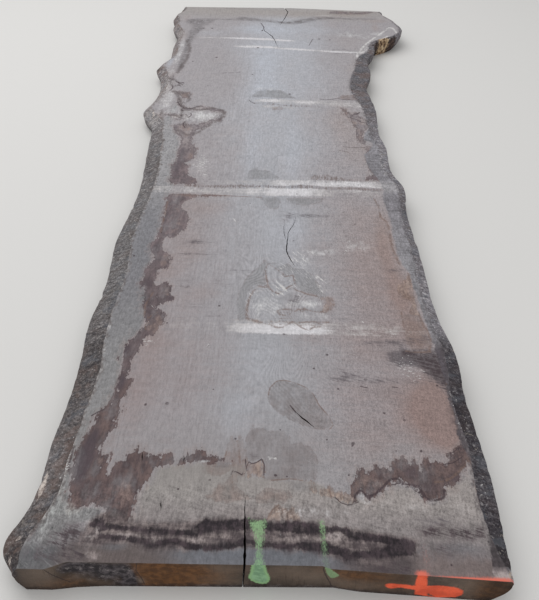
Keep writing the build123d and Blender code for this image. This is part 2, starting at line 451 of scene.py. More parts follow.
TIDE = [
    # left band from the first pale stripe to the near end
    [(-340, -256), (-342, -290), (-340, -330), (-338, -380), (-336, -410), (-340, -440), (-344, -456),
     (-338, -470), (-336, -495), (-345, -510), (-350, -530), (-346, -560), (-338, -570), (-336, -600),
     (-342, -620), (-342, -640), (-345, -660), (-348, -690), (-352, -705), (-345, -718), (-338, -735),
     (-336, -765), (-332, -785), (-326, -800), (-322, -820), (-320, -840), (-314, -848), (-306, -856),
     (-308, -868), (-320, -882), (-328, -892), (-331, -905), (-335, -920), (-345, -935), (-346, -952),
     (-350, -970), (-352, -985), (-342, -990), (-340, -1005), (-338, -1030), (-336, -1060), (-340, -1090),
     (-344, -1115), (-350, -1130), (-358, -1142), (-366, -1155), (-372, -1168), (-368, -1180),
     (-372, -1200), (-380, -1215), (-384, -1240), (-386, -1260), (-390, -1290), (-394, -1306),
     (-386, -1318), (-379, -1326), (-378, -1345), (-376, -1362), (-371, -1378), (-364, -1393),
     (-350, -1391), (-338, -1384), (-326, -1378), (-312, -1384), (-301, -1390), (-299, -1405),
     (-298, -1422), (-280, -1430), (-246, -1430), (-245, -1405), (-243, -1385), (-244, -1365),
     (-237, -1348), (-232, -1330), (-230, -1314), (-224, -1300), (-214, -1290), (-204, -1284),
     (-192, -1280), (-178, -1279), (-164, -1277), (-150, -1274), (-136, -1271), (-124, -1270),
     (-112, -1274), (-96, -1272), (-80, -1267), (-68, -1263), (-80, -1260), (-92, -1258), (-98, -1252),
     (-108, -1254), (-112, -1260), (-118, -1254), (-124, -1246), (-127, -1238), (-133, -1239),
     (-140, -1243), (-143, -1252), (-152, -1255), (-157, -1251), (-162, -1257), (-170, -1262),
     (-176, -1264), (-183, -1259), (-190, -1256), (-198, -1259), (-203, -1265), (-208, -1270),
     (-213, -1264), (-217, -1258), (-232, -1257), (-246, -1257), (-252, -1250), (-254, -1241),
     (-258, -1234), (-262, -1242), (-268, -1250), (-278, -1255), (-286, -1262), (-292, -1274),
     (-301, -1288), (-304, -1300), (-304, -1311), (-312, -1313), (-317, -1302), (-318, -1285),
     (-315, -1270), (-317, -1259), (-338, -1258), (-335, -1252), (-343, -1246), (-335, -1238),
     (-326, -1222), (-324, -1205), (-319, -1190), (-322, -1172), (-318, -1155), (-313, -1138),
     (-322, -1118), (-314, -1100), (-310, -1085), (-307, -1066), (-308, -1050), (-317, -1045),
     (-318, -1028), (-316, -1010), (-320, -986), (-317, -975), (-311, -966), (-310, -950), (-306, -935),
     (-302, -915), (-297, -902), (-287, -909), (-280, -890), (-272, -870), (-264, -850), (-262, -835),
     (-268, -820), (-274, -812), (-284, -808), (-290, -802), (-283, -788), (-270, -776), (-256, -768),
     (-254, -756), (-260, -748), (-258, -725), (-264, -712), (-274, -700), (-288, -698), (-298, -706),
     (-308, -714), (-313, -700), (-316, -680), (-310, -665), (-312, -650), (-306, -642), (-300, -641),
     (-296, -649), (-290, -640), (-286, -625), (-283, -605), (-285, -590), (-292, -575), (-302, -566),
     (-312, -560), (-312, -545), (-316, -530), (-320, -515), (-322, -502), (-312, -492), (-300, -494),
     (-290, -490), (-280, -478), (-270, -468), (-264, -450), (-264, -430), (-268, -418), (-258, -412),
     (-252, -402), (-260, -392), (-266, -375), (-265, -358), (-270, -347), (-288, -340), (-295, -322),
     (-290, -305), (-276, -292), (-262, -276), (-225, -268), (-190, -264), (-160, -260), (-190, -256),
     (-240, -256), (-290, -258)],
    # left band beyond the stripes
    [(-356, 150), (-350, 110), (-345, 80), (-350, 50), (-348, 20), (-344, -20), (-348, -50), (-358, -80),
     (-352, -100), (-347, -140), (-350, -170), (-342, -192), (-318, -197), (-290, -194), (-262, -198),
     (-254, -186), (-267, -166), (-281, -152), (-291, -132), (-300, -116), (-304, -100), (-298, -82),
     (-306, -62), (-293, -42), (-286, -20), (-282, 0), (-285, 22), (-288, 45), (-300, 65), (-306, 90),
     (-309, 120), (-302, 150)],
    [(-398, 206), (-386, 190), (-375, 165), (-372, 140), (-350, 128), (-325, 134), (-308, 128), (-300, 160),
     (-292, 180), (-275, 190), (-262, 205), (-254, 226), (-240, 250), (-226, 262), (-212, 290), (-210, 325),
     (-224, 340), (-244, 346), (-262, 356), (-275, 369), (-290, 362), (-302, 374), (-316, 369), (-325, 352),
     (-341, 351), (-355, 354), (-368, 366), (-380, 382), (-392, 402), (-398, 420), (-393, 444), (-380, 450),
     (-388, 456), (-402, 436), (-408, 400), (-396, 380), (-380, 360), (-364, 344), (-372, 332), (-360, 322),
     (-340, 334), (-320, 332), (-300, 344), (-285, 338), (-262, 332), (-246, 318), (-238, 296), (-250, 270),
     (-262, 252), (-280, 240), (-300, 222), (-318, 226), (-332, 214), (-346, 222), (-352, 240), (-366, 222),
     (-384, 214)],
    [(-432, 300), (-400, 306), (-372, 300), (-350, 306), (-340, 290), (-350, 272), (-362, 262), (-372, 245),
     (-390, 255), (-405, 270), (-420, 285)],
    [(-425, 500), (-400, 503), (-378, 498), (-362, 485), (-353, 468), (-357, 450), (-372, 438), (-384, 440),
     (-392, 450), (-396, 464), (-404, 477), (-418, 488)],
    # the stain with a serrated crest, near right
    [(176, -1338), (178, -1322), (181, -1306), (185, -1297), (190, -1292), (194, -1280), (200, -1274),
     (206, -1272), (212, -1280), (214, -1290), (218, -1284), (222, -1274), (230, -1268), (240, -1270),
     (256, -1272), (259, -1264), (263, -1261), (270, -1256), (276, -1248), (282, -1246), (288, -1239),
     (292, -1248), (296, -1252), (298, -1262), (302, -1262), (303, -1250), (308, -1245), (312, -1252),
     (318, -1260), (320, -1272), (323, -1266), (326, -1256), (332, -1250), (340, -1247), (346, -1254),
     (356, -1250), (362, -1258), (372, -1258), (381, -1254), (384, -1245), (380, -1232), (386, -1226),
     (396, -1222), (404, -1212), (410, -1208), (416, -1198), (424, -1192), (426, -1240), (419, -1258),
     (411, -1268), (402, -1280), (396, -1290), (388, -1302), (384, -1309), (376, -1306), (366, -1308),
     (360, -1314), (362, -1330), (360, -1335), (350, -1340), (338, -1344), (328, -1346), (320, -1340),
     (316, -1330), (309, -1318), (300, -1312), (290, -1310), (286, -1301), (276, -1302), (267, -1298),
     (256, -1306), (247, -1319), (236, -1328), (222, -1338), (212, -1350), (206, -1340), (199, -1328),
     (190, -1333), (183, -1346)],
    # right side, towards the far end
    [(300, 72), (301, 20), (296, -20), (300, -60), (305, -90), (311, -108), (300, -124), (284, -141),
     (332, -147), (325, -110), (318, -80), (311, -50), (308, 0), (318, 30), (331, 50), (330, 70),
     (316, 88)],
    [(225, 388), (238, 362), (234, 334), (246, 316), (260, 300), (262, 270), (270, 245), (276, 210),
     (272, 180), (276, 140), (284, 105), (304, 92), (306, 130), (296, 160), (300, 190), (318, 214),
     (328, 250), (326, 280), (306, 300), (296, 322), (300, 345), (280, 342), (268, 330), (252, 350),
     (240, 384)],
    [(210, 1460), (235, 1475), (262, 1482), (300, 1470), (330, 1462), (370, 1470), (400, 1480), (440, 1494),
     (452, 1490), (420, 1462), (400, 1448), (350, 1440), (300, 1436), (250, 1440), (215, 1448)],
]
# Brown with orange in it, and pinkish brown
RUST = [
    [(97, -1308), (104, -1318), (108, -1325), (120, -1330), (128, -1325), (134, -1317), (140, -1324),
     (146, -1334), (160, -1330), (172, -1334), (182, -1338), (187, -1350), (178, -1359), (165, -1360),
     (155, -1352), (146, -1345), (130, -1345), (112, -1342), (100, -1338), (95, -1325)],
    [(14, -1400), (18, -1390), (22, -1380), (28, -1371), (35, -1366), (40, -1377), (46, -1373), (55, -1376),
     (62, -1371), (68, -1380), (75, -1388), (78, -1400)],
    [(-36, -1262), (-30, -1266), (-22, -1272), (-12, -1268), (-6, -1263), (0, -1258), (4, -1270),
     (4, -1300), (-6, -1304), (-20, -1300), (-30, -1304), (-34, -1285)],
    [(332, -690), (345, -668), (362, -648), (374, -626), (380, -660), (374, -700), (378, -740), (376, -780),
     (380, -802), (352, -800), (361, -770), (363, -745), (346, -735), (336, -712)],
    [(120, -737), (146, -737), (158, -748), (162, -768), (150, -786), (138, -798), (126, -792), (140, -776),
     (144, -758), (132, -750)],
]
BAND = [
    [(-332, -1466), (-330, -1440), (-318, -1418), (-300, -1400), (-280, -1406), (-243, -1412),
     (-203, -1413), (-157, -1412), (-125, -1408), (-103, -1399), (-51, -1400), (0, -1398), (53, -1400),
     (99, -1402), (141, -1409), (190, -1415), (248, -1422), (294, -1430), (290, -1462), (240, -1470),
     (206, -1478), (160, -1478), (120, -1464), (45, -1458), (-32, -1458), (-60, -1462), (-128, -1468),
     (-200, -1460), (-254, -1458)],
]
DARK = [
    [(-318, -1422), (-312, -1412), (-300, -1408), (-292, -1420), (-262, -1423), (-236, -1424),
     (-214, -1427), (-190, -1426), (-166, -1429), (-130, -1427), (-114, -1412), (-105, -1402), (-85, -1406),
     (-62, -1404), (-40, -1402), (-28, -1397), (-14, -1402), (14, -1404), (30, -1408), (55, -1402),
     (77, -1402), (99, -1403), (115, -1410), (130, -1412), (145, -1408), (160, -1412), (172, -1419),
     (200, -1422), (225, -1425), (250, -1428), (275, -1430), (290, -1436), (288, -1460), (262, -1462),
     (240, -1466), (222, -1470), (190, -1470), (160, -1474), (148, -1464), (130, -1463), (112, -1460),
     (90, -1458), (74, -1454), (76, -1446), (100, -1445), (126, -1444), (150, -1452), (165, -1456),
     (200, -1456), (222, -1452), (236, -1446), (240, -1440), (215, -1438), (190, -1434), (170, -1431),
     (158, -1422), (146, -1416), (132, -1421), (112, -1424), (80, -1424), (55, -1423), (20, -1420),
     (-10, -1418), (-32, -1422), (-60, -1424), (-80, -1426), (-100, -1430), (-119, -1438), (-140, -1436),
     (-166, -1438), (-190, -1434), (-214, -1435), (-240, -1431), (-262, -1432), (-280, -1430),
     (-300, -1436), (-310, -1428)],
    [(-296, -1442), (-276, -1443), (-258, -1443), (-234, -1445), (-212, -1448), (-196, -1456),
     (-184, -1452), (-166, -1446), (-146, -1448), (-126, -1455), (-98, -1457), (-70, -1456), (-46, -1449),
     (-27, -1441), (0, -1446), (30, -1447), (60, -1449), (76, -1446), (74, -1456), (56, -1460), (30, -1455),
     (3, -1454), (-22, -1450), (-40, -1459), (-70, -1464), (-98, -1466), (-128, -1465), (-146, -1458),
     (-165, -1457), (-184, -1462), (-200, -1466), (-214, -1458), (-236, -1453), (-260, -1452),
     (-280, -1450), (-300, -1451)],
]
# Short brown ticks along the edges of the pale bands
TICKS = [
    [(-340, -200), (-300, -199), (-246, -202), (-161, -196), (-97, -194), (-49, -192), (31, -196),
     (80, -184), (111, -190), (160, -196), (245, -192), (320, -199), (392, -206), (396, -216), (320, -210),
     (244, -206), (160, -208), (111, -202), (32, -206), (-48, -204), (-159, -212), (-245, -214),
     (-330, -204)],
    [(106, -138), (112, -128), (129, -121), (145, -127), (160, -112), (172, -126), (194, -131), (221, -138),
     (258, -145), (334, -146), (334, -152), (220, -153), (112, -151)],
    [(-122, 420), (-108, 402), (-60, 398), (-15, 392), (30, 388), (62, 386), (120, 388), (171, 386),
     (171, 392), (100, 396), (30, 398), (-15, 404), (-60, 410), (-110, 414)],
]
BLOTCH = [
    [(-38, -1214), (-36, -1195), (-30, -1180), (-25, -1172), (-22, -1180), (-12, -1180), (0, -1178),
     (10, -1186), (24, -1184), (40, -1182), (50, -1190), (54, -1205), (60, -1218), (72, -1216), (78, -1212),
     (84, -1222), (96, -1226), (104, -1236), (110, -1250), (114, -1265), (112, -1285), (108, -1300),
     (104, -1308), (60, -1306), (20, -1312), (8, -1310), (5, -1290), (4, -1272), (0, -1256), (-10, -1262),
     (-22, -1268), (-34, -1260), (-38, -1240)],
    [(4, -1091), (8, -1062), (22, -1042), (40, -1038), (62, -1044), (89, -1058), (106, -1078), (118, -1110),
     (138, -1140), (148, -1164), (138, -1176), (110, -1176), (80, -1166), (48, -1150), (16, -1122)],
    # grey ring round the heart stain
    [(-88, -790), (-84, -715), (-72, -674), (-52, -640), (-34, -612), (-24, -584), (-12, -600), (6, -598),
     (20, -610), (40, -600), (59, -620), (90, -624), (112, -660), (124, -690), (132, -717), (144, -734),
     (116, -732), (90, -724), (68, -708), (60, -680), (57, -645), (38, -652), (20, -631), (4, -613),
     (-14, -604), (-22, -632), (-19, -664), (-18, -697), (-46, -700), (-64, -735), (-66, -790), (-60, -838),
     (-80, -840)],
    [(-97, -157), (-96, -112), (-86, -90), (-72, -80), (-60, -96), (-40, -98), (-20, -108), (-6, -126),
     (16, -150)],
    [(-50, -262), (12, -262), (15, -297), (8, -322), (-6, -330), (-23, -322), (-40, -296)],
    [(33, -262), (147, -262), (140, -284), (112, -296), (95, -304), (60, -300), (40, -286)],
    [(-126, 458), (-108, 490), (-90, 520), (-60, 536), (-42, 526), (-20, 538), (8, 518), (34, 486),
     (60, 462), (0, 456), (-60, 462)],
]
FAINT = [
    [(-108, -1350), (-98, -1342), (-92, -1330), (-82, -1322), (-68, -1318), (-62, -1300), (-52, -1300),
     (-48, -1330), (-30, -1345), (-18, -1354), (-40, -1362), (-60, -1365), (-90, -1362), (-104, -1356)],
    [(-82, -1268), (-80, -1240), (-76, -1222), (-70, -1206), (-66, -1203), (-63, -1212), (-60, -1208),
     (-56, -1214), (-52, -1203), (-49, -1198), (-46, -1212), (-40, -1222), (-36, -1240), (-30, -1262),
     (-30, -1285), (-36, -1304), (-50, -1306), (-58, -1296), (-64, -1272)],
    [(-60, -1290), (-48, -1290), (-49, -1320), (-50, -1342), (-56, -1342), (-58, -1316)],
    [(-10, -1352), (4, -1336), (12, -1328), (30, -1332), (52, -1334), (60, -1346), (54, -1360), (20, -1362),
     (-6, -1362)],
    [(-126, -1262), (-68, -1262), (-62, -1284), (-74, -1300), (-100, -1306), (-118, -1296)],
    [(-371, 208), (-343, 225), (-313, 200), (-300, 180), (-320, 130), (-345, 120), (-375, 150)],
    [(336, -800), (332, -870), (341, -928), (385, -925), (394, -896), (388, -855), (374, -800)],
    [(220, 470), (250, 453), (300, 456), (320, 470), (318, 500), (300, 505), (240, 498)],
    [(-30, 350), (0, 352), (14, 366), (-2, 384), (-40, 376)],
]
# Dark grey haze: a wavy belt near the far end, and dark weathering on the right
SMOKE = [
    [(-350, 1345), (-300, 1337), (-250, 1347), (-235, 1365), (-215, 1373), (-190, 1366), (-150, 1360),
     (-110, 1342), (-80, 1336), (-40, 1326), (0, 1312), (30, 1332), (60, 1347), (100, 1367), (140, 1387),
     (200, 1392), (260, 1390), (300, 1380), (360, 1386), (440, 1380), (440, 1366), (360, 1366), (290, 1362),
     (220, 1368), (160, 1350), (120, 1318), (80, 1296), (40, 1284), (0, 1282), (-60, 1300), (-120, 1312),
     (-180, 1318), (-260, 1322), (-350, 1326)],
    [(-450, 700), (-434, 710), (-424, 770), (-418, 800), (-416, 850), (-414, 900), (-420, 950),
     (-424, 1000), (-414, 1060), (-408, 1130), (-380, 1210), (-400, 1250), (-440, 1240), (-448, 1160),
     (-452, 1060), (-450, 1000), (-444, 960), (-446, 900), (-450, 850), (-452, 780)],
    [(-484, 1318), (-440, 1335), (-345, 1343), (-345, 1310), (-350, 1280), (-365, 1262), (-385, 1240),
     (-410, 1232), (-438, 1228), (-455, 1245), (-470, 1265), (-482, 1290)],
    [(318, -932), (402, -932), (430, -900), (440, -960), (440, -1040), (420, -1230), (412, -1180),
     (408, -1110), (410, -1060), (398, -1040), (384, -1022), (370, -1012), (362, -990), (352, -970),
     (322, -950)],
    [(344, 850), (326, 842), (318, 800), (300, 740), (286, 690), (274, 640), (270, 590), (276, 540),
     (296, 500), (330, 470), (360, 480), (360, 640), (350, 760)],
    [(-430, -1408), (-414, -1412), (-416, -1436), (-424, -1458), (-436, -1446), (-438, -1424)],
    [(-372, -1424), (-336, -1424), (-326, -1440), (-332, -1466), (-300, -1490), (-360, -1500),
     (-400, -1490), (-392, -1466), (-388, -1446)],
    [(300, -1404), (340, -1400), (400, -1404), (424, -1396), (424, -1420), (400, -1426), (340, -1424),
     (306, -1424)],
    [(330, -1440), (360, -1436), (366, -1448), (344, -1456), (326, -1452)],
    [(220, -1472), (262, -1466), (280, -1478), (276, -1494), (240, -1500), (210, -1496), (200, -1482)],
]
SAPWOOD = [
    [(-397, 420), (-396, 201), (-385, 172), (-355, 113), (-348, 0), (-345, -123), (-333, -189),
     (-336, -260), (-340, -345), (-337, -454), (-346, -540), (-338, -620), (-346, -691), (-325, -758),
     (-312, -820), (-318, -884), (-346, -940), (-342, -1000), (-338, -1050), (-346, -1130), (-372, -1160),
     (-374, -1240), (-388, -1290), (-384, -1330), (-372, -1380), (-345, -1386), (-306, -1388),
     (-302, -1408), (-330, -1416), (-360, -1430), (-395, -1500), (-424, -1530), (-440, -1500),
     (-424, -1450), (-414, -1400), (-406, -1366), (-401, -1324), (-404, -1272), (-412, -1200), (-412, -800),
     (-415, -400), (-415, 0), (-430, 250)],
]
# Ground below the near stains, warmer and paler than the rest
BELOW = [
    [(-300, -1390), (-243, -1392), (-241, -1356), (-228, -1330), (-215, -1292), (-183, -1280),
     (-120, -1273), (-38, -1274), (-25, -1300), (60, -1306), (100, -1306), (148, -1330), (190, -1345),
     (225, -1338), (262, -1310), (300, -1318), (325, -1345), (360, -1335), (364, -1310), (392, -1298),
     (422, -1262), (440, -1330), (480, -1540), (-300, -1540), (-310, -1460), (-330, -1420)],
]
# Bands left pale by the drying stickers
MARKS = [
    [(-300, -884), (-90, -885), (150, -885), (440, -881), (440, -836), (150, -832), (60, -838), (10, -830),
     (-80, -826), (-300, -836)],
    [(-242, -196), (-160, -192), (-60, -190), (30, -194), (80, -182), (112, -188), (160, -194), (245, -190),
     (346, -196), (360, -176), (345, -154), (220, -155), (112, -153), (30, -156), (-60, -158), (-100, -166),
     (-200, -168), (-242, -176)],
    [(-410, -248), (-300, -252), (-150, -254), (0, -254), (150, -252), (220, -250), (390, -240),
     (396, -220), (245, -208), (160, -210), (112, -204), (32, -208), (-48, -206), (-159, -214),
     (-245, -216), (-410, -206)],
    [(-112, 424), (-92, 416), (-40, 418), (0, 406), (60, 398), (140, 398), (240, 392), (352, 380),
     (354, 440), (240, 444), (140, 446), (60, 446), (0, 450), (-60, 450), (-100, 440)],
    [(-84, 386), (-60, 368), (-20, 362), (50, 364), (60, 380), (20, 386), (-20, 388), (-60, 394)],
    [(-420, 1094), (-300, 1096), (-150, 1096), (-60, 1090), (40, 1076), (60, 1062), (0, 1058), (-60, 1066),
     (-150, 1072), (-300, 1082), (-420, 1080)],
    [(-240, 990), (-150, 1002), (-60, 1000), (0, 986), (100, 972), (190, 962), (350, 948), (360, 930),
     (190, 940), (100, 950), (0, 962), (-60, 972), (-200, 974)],
    [(140, 1404), (220, 1404), (380, 1404), (380, 1416), (220, 1424), (140, 1422)],
]
# Natural grey surface that the saw just missed, along the right edge; its dark stretch near the near end is
# partly weathering and partly painted shade where that edge slopes away
RIND = [
    [(292, 30), (300, -50), (314, -100), (332, -148), (340, -200), (334, -256), (340, -330), (345, -400),
     (347, -480), (350, -560), (360, -600), (372, -626), (378, -700), (385, -780), (392, -840), (399, -900),
     (402, -960), (410, -1040), (408, -1080), (412, -1140), (410, -1190), (427, -1250), (429, -1300),
     (430, -1394), (427, -1436), (425, -1465), (423, -1490), (600, -1490), (600, 30)],
    [(300, 30), (318, 60), (330, 110), (300, 130), (306, 180), (322, 214), (334, 250), (330, 290),
     (322, 320), (348, 372), (350, 440), (330, 452), (296, 470), (276, 520), (274, 580), (280, 660),
     (296, 730), (316, 790), (328, 840), (350, 856), (376, 870), (600, 870), (600, 30)],
]
GREEN = [
    [(-22, -1396), (-18, -1402), (12, -1400), (10, -1420), (10, -1440), (6, -1460), (9, -1480), (16, -1500),
     (18, -1520), (-12, -1520), (-9, -1498), (-4, -1480), (-3, -1460), (-6, -1440), (-14, -1420)],
    [(114, -1396), (122, -1398), (123, -1430), (125, -1460), (129, -1490), (136, -1520), (122, -1520),
     (119, -1480), (118, -1450), (116, -1425)],
]
# Thin stain lines: half width in mm, then the line
DARK_LINES = [
    (2.8, [(182, -1352), (184, -1342), (190, -1332), (196, -1326), (200, -1330), (208, -1340), (212, -1348),
     (214, -1338), (222, -1336), (230, -1328), (240, -1318), (250, -1306), (256, -1300), (268, -1296),
     (274, -1298), (284, -1308), (296, -1310), (310, -1312), (316, -1322), (322, -1336), (330, -1345),
     (344, -1343), (358, -1337), (361, -1320)]),
    (1.2, [(250, -1316), (256, -1309), (264, -1312), (272, -1306), (280, -1312), (288, -1318), (296, -1314),
     (304, -1324), (312, -1330), (316, -1340)]),
    (1.3, [(366, -1260), (376, -1256), (390, -1253), (402, -1244), (412, -1236)]),
    (1.2, [(384, -1232), (394, -1226), (404, -1218), (410, -1212), (412, -1218)]),
    (1.2, [(146, -1346), (157, -1357), (170, -1361), (183, -1357), (191, -1353)]),
    (1.5, [(-30, -1266), (-22, -1272), (-12, -1268), (-6, -1263), (-2, -1258), (3, -1272), (4, -1298)]),
    (1.5, [(-36, -1260), (-34, -1275), (-31, -1290)]),
    (1.5, [(-62, -1300), (-60, -1290), (-54, -1292), (-46, -1296), (-40, -1300)]),
    (2.4, [(-251, 685), (-236, 692)]), (2.4, [(-222, 690), (-206, 692)]), (2.4, [(-192, 695), (-177, 703)]),
    (2.0, [(130, 1093), (122, 1060), (111, 1011)]), (1.6, [(286, -1049), (298, -1050)]),
    (1.4, [(212, -1050), (228, -1054)]),
    (2.2, [(150, 458), (172, 452), (200, 458), (219, 466), (240, 456), (256, 462), (274, 454), (300, 456)]),
    (1.8, [(54, -1113), (67, -1133)]), (2.4, [(-118, 1293), (-104, 1250), (-98, 1222)]),
    (3.4, [(-104, 1200), (-108, 1184)]),
    (3.2, [(-437, 600), (-424, 590), (-418, 575), (-404, 585), (-398, 578)]),
    (3.4, [(-418, 560), (-406, 548)]), (2.8, [(-444, 560), (-436, 530), (-446, 505)]),
    (2.6, [(-400, 404), (-386, 372), (-364, 350), (-340, 350), (-318, 370), (-300, 372)]),
    (3.4, [(-378, 336), (-368, 326)]), (3.0, [(-374, 292), (-368, 284)]),
    (2.4, [(-338, 312), (-333, 292), (-344, 272)]), (2.6, [(-352, 240), (-356, 215), (-344, 190)]),
    (2.4, [(262, 300), (280, 290), (300, 268), (322, 258)]), (2.2, [(276, 330), (290, 336), (300, 350)]),
    (2.6, [(-396, -1236), (-394, -1262), (-392, -1300)]),
    (2.0, [(-376, -1160), (-366, -1150), (-352, -1140)]), (2.0, [(-100, 402), (-118, 420), (-126, 436)]),
]
WARM_LINES = [
    (3.0, [(-39, -706), (-49, -725), (-57, -755), (-61, -794), (-58, -830)]),
    (4.4, [(-56, -832), (-32, -842), (-10, -847), (4, -851)]),
    (2.4, [(4, -838), (4, -856), (20, -862), (34, -860), (46, -848), (56, -838), (66, -846), (82, -862),
     (97, -868), (107, -857), (125, -854)]),
    (2.8, [(-37, -704), (-8, -706), (4, -723), (19, -731)]),
    (2.4, [(-8, -703), (-16, -664), (-19, -626), (-12, -607), (4, -619), (20, -637), (36, -658), (56, -651),
     (62, -690), (45, -701), (35, -713)]),
    (2.4, [(62, -712), (90, -728), (116, -736), (139, -740), (158, -745)]),
    (3.8, [(158, -745), (161, -765), (152, -788), (141, -798), (119, -798)]),
    (2.8, [(119, -798), (97, -794), (86, -786), (81, -798), (72, -790), (61, -800), (53, -794), (39, -791),
     (17, -798), (25, -814), (46, -816), (57, -800)]),
    (2.2, [(25, -837), (47, -841), (75, -840), (104, -837), (147, -837)]),
    (3.4, [(318, -360), (334, -384), (337, -433), (336, -480), (338, -518), (344, -560), (350, -590)]),
    (2.4, [(306, -256), (316, -300), (318, -360)]),
    (2.0, [(-340, -258), (-282, -262), (-198, -259), (-124, -262), (-46, -264)]),
    (3.0, [(378, -800), (384, -840), (392, -860), (396, -900), (386, -925)]),
    (2.4, [(330, -931), (350, -935), (388, -932)]),
    (2.6, [(368, -630), (378, -642), (368, -652), (372, -670)]),
    (2.2, [(346, -1302), (366, -1298), (384, -1288), (398, -1274), (410, -1262), (421, -1248)]),
    (1.4, [(20, -1310), (40, -1307), (60, -1305), (80, -1308), (98, -1307)]),
    (2.4, [(424, -1240), (428, -1262), (430, -1293), (430, -1334), (431, -1380)]),
    (2.4, [(412, -1030), (410, -1060), (418, -1084), (412, -1120), (420, -1150), (414, -1190)]),
    (2.6, [(225, 76), (262, 70), (300, 73)]), (2.2, [(190, 40), (214, 48), (240, 38), (246, 26)]),
    (1.2, [(4, -1091), (8, -1062), (22, -1042), (40, -1038), (62, -1044), (89, -1058), (106, -1078),
     (118, -1110), (138, -1140), (148, -1164), (140, -1176)]),
    (3.5, [(-452, 305), (-444, 262), (-434, 224), (-424, 140), (-420, 60)]),
    (1.8, [(104, -1312), (108, -1332)]), (1.8, [(132, -1320), (138, -1346)]),
    (1.6, [(-60, -1300), (-56, -1336)]), (1.8, [(-56, -1216), (-50, -1240), (-46, -1270)]),
    (1.4, [(-74, -1226), (-78, -1262)]), (2.0, [(334, -790), (334, -846)]),
    (2.0, [(15, -1398), (22, -1380), (35, -1366), (40, -1378), (50, -1374)]),
    (2.4, [(424, -1296), (426, -1330), (428, -1360)]), (1.8, [(420, -1180), (414, -1120), (412, -1080)]),
    (2.2, [(-336, -300), (-334, -380), (-332, -470)]), (2.0, [(-310, -740), (-322, -790), (-318, -836)]),
    (1.8, [(-306, -842), (-298, -828), (-286, -818)]), (1.8, [(-304, -858), (-310, -868), (-306, -882)]),
    (5.4, [(-381, 355), (-346, 350), (-306, 337), (-261, 359), (-221, 341), (-208, 300), (-232, 249),
     (-264, 208), (-295, 155), (-329, 135), (-369, 171)]),
    (6.0, [(-432, 288), (-395, 290), (-373, 271), (-370, 313), (-386, 398), (-409, 465), (-428, 501)]),
    (6.0, [(-434, 500), (-402, 488), (-371, 476), (-355, 422), (-371, 399)]),
    (6.0, [(-490, 640), (-438, 606), (-402, 559), (-430, 548), (-462, 556)]),
    (7.0, [(-442, 1050), (-420, 960), (-417, 845), (-431, 735), (-438, 682)]),
    (6.0, [(-450, 329), (-435, 247), (-436, 168), (-412, 93), (-406, 21)]),
]
# Small dark spots: place and half width in mm
SPOTS = [
    (36, -885, 3.6), (-218, -1119, 4.5), (-265, -1124, 3.6), (108, -998, 3), (260, -1127, 3),
    (226, -1028, 4.5), (32, 496, 6), (-292, 855, 6), (-117, 978, 6), (160, 1097, 6), (208, 1089, 5),
    (-344, 1208, 6), (-385, 1208, 5), (188, -1212, 4), (185, -1218, 3), (133, -1204, 2.5),
    (-104, -1314, 2.5), (-164, -1338, 2.5), (-60, -1210, 3), (276, -1228, 2), (328, -1226, 3),
    (174, -1292, 2), (162, -1060, 3), (238, -400, 2.5), (350, -1478, 2), (27, -1298, 3.4), (50, -1300, 2.2),
    (-116, 978, 4), (-126, 681, 4), (56, -492, 3), (-300, 560, 3), (302, -1145, 3), (140, -952, 3.4),
    (-389, -584, 3.4), (-132, -786, 3.4), (-256, -857, 2.4), (-120, -1073, 2), (-330, -470, 3),
    (-80, -300, 2), (64, -240, 3), (-24, 1380, 3), (-390, 806, 4), (388, -1040, 3), (-124, 680, 3),
    (312, 124, 4), (308, 140, 3), (34, -1182, 2),
]
# Soft patches: centre, reach across and along in mm, and weight
PALE = [
    (30, -870, 120, 30, 0.95), (-150, -860, 150, 34, 0.14), (230, -864, 150, 32, 0.28),
    (250, -176, 120, 40, 0.75), (50, -172, 110, 40, 0.65), (-140, -180, 90, 30, 0.32),
    (60, -232, 90, 40, 0.85), (-60, -232, 90, 30, 0.5), (-240, -230, 160, 34, 0.36),
    (-350, -232, 70, 30, 0.2), (260, -230, 90, 30, 0.3), (-52, 434, 60, 20, 0.9), (60, 425, 80, 24, 0.55),
    (150, 425, 70, 22, 0.4), (290, 410, 90, 40, 0.45), (-46, 380, 36, 14, 0.6), (30, 374, 30, 12, 0.4),
    (-140, 1086, 120, 22, 1.15), (-330, 1088, 100, 16, 0.55), (10, 1070, 70, 18, 0.85),
    (-120, 985, 110, 22, 1.1), (80, 966, 120, 20, 0.9), (270, 944, 110, 20, 0.9), (200, 1412, 60, 16, 0.4),
]
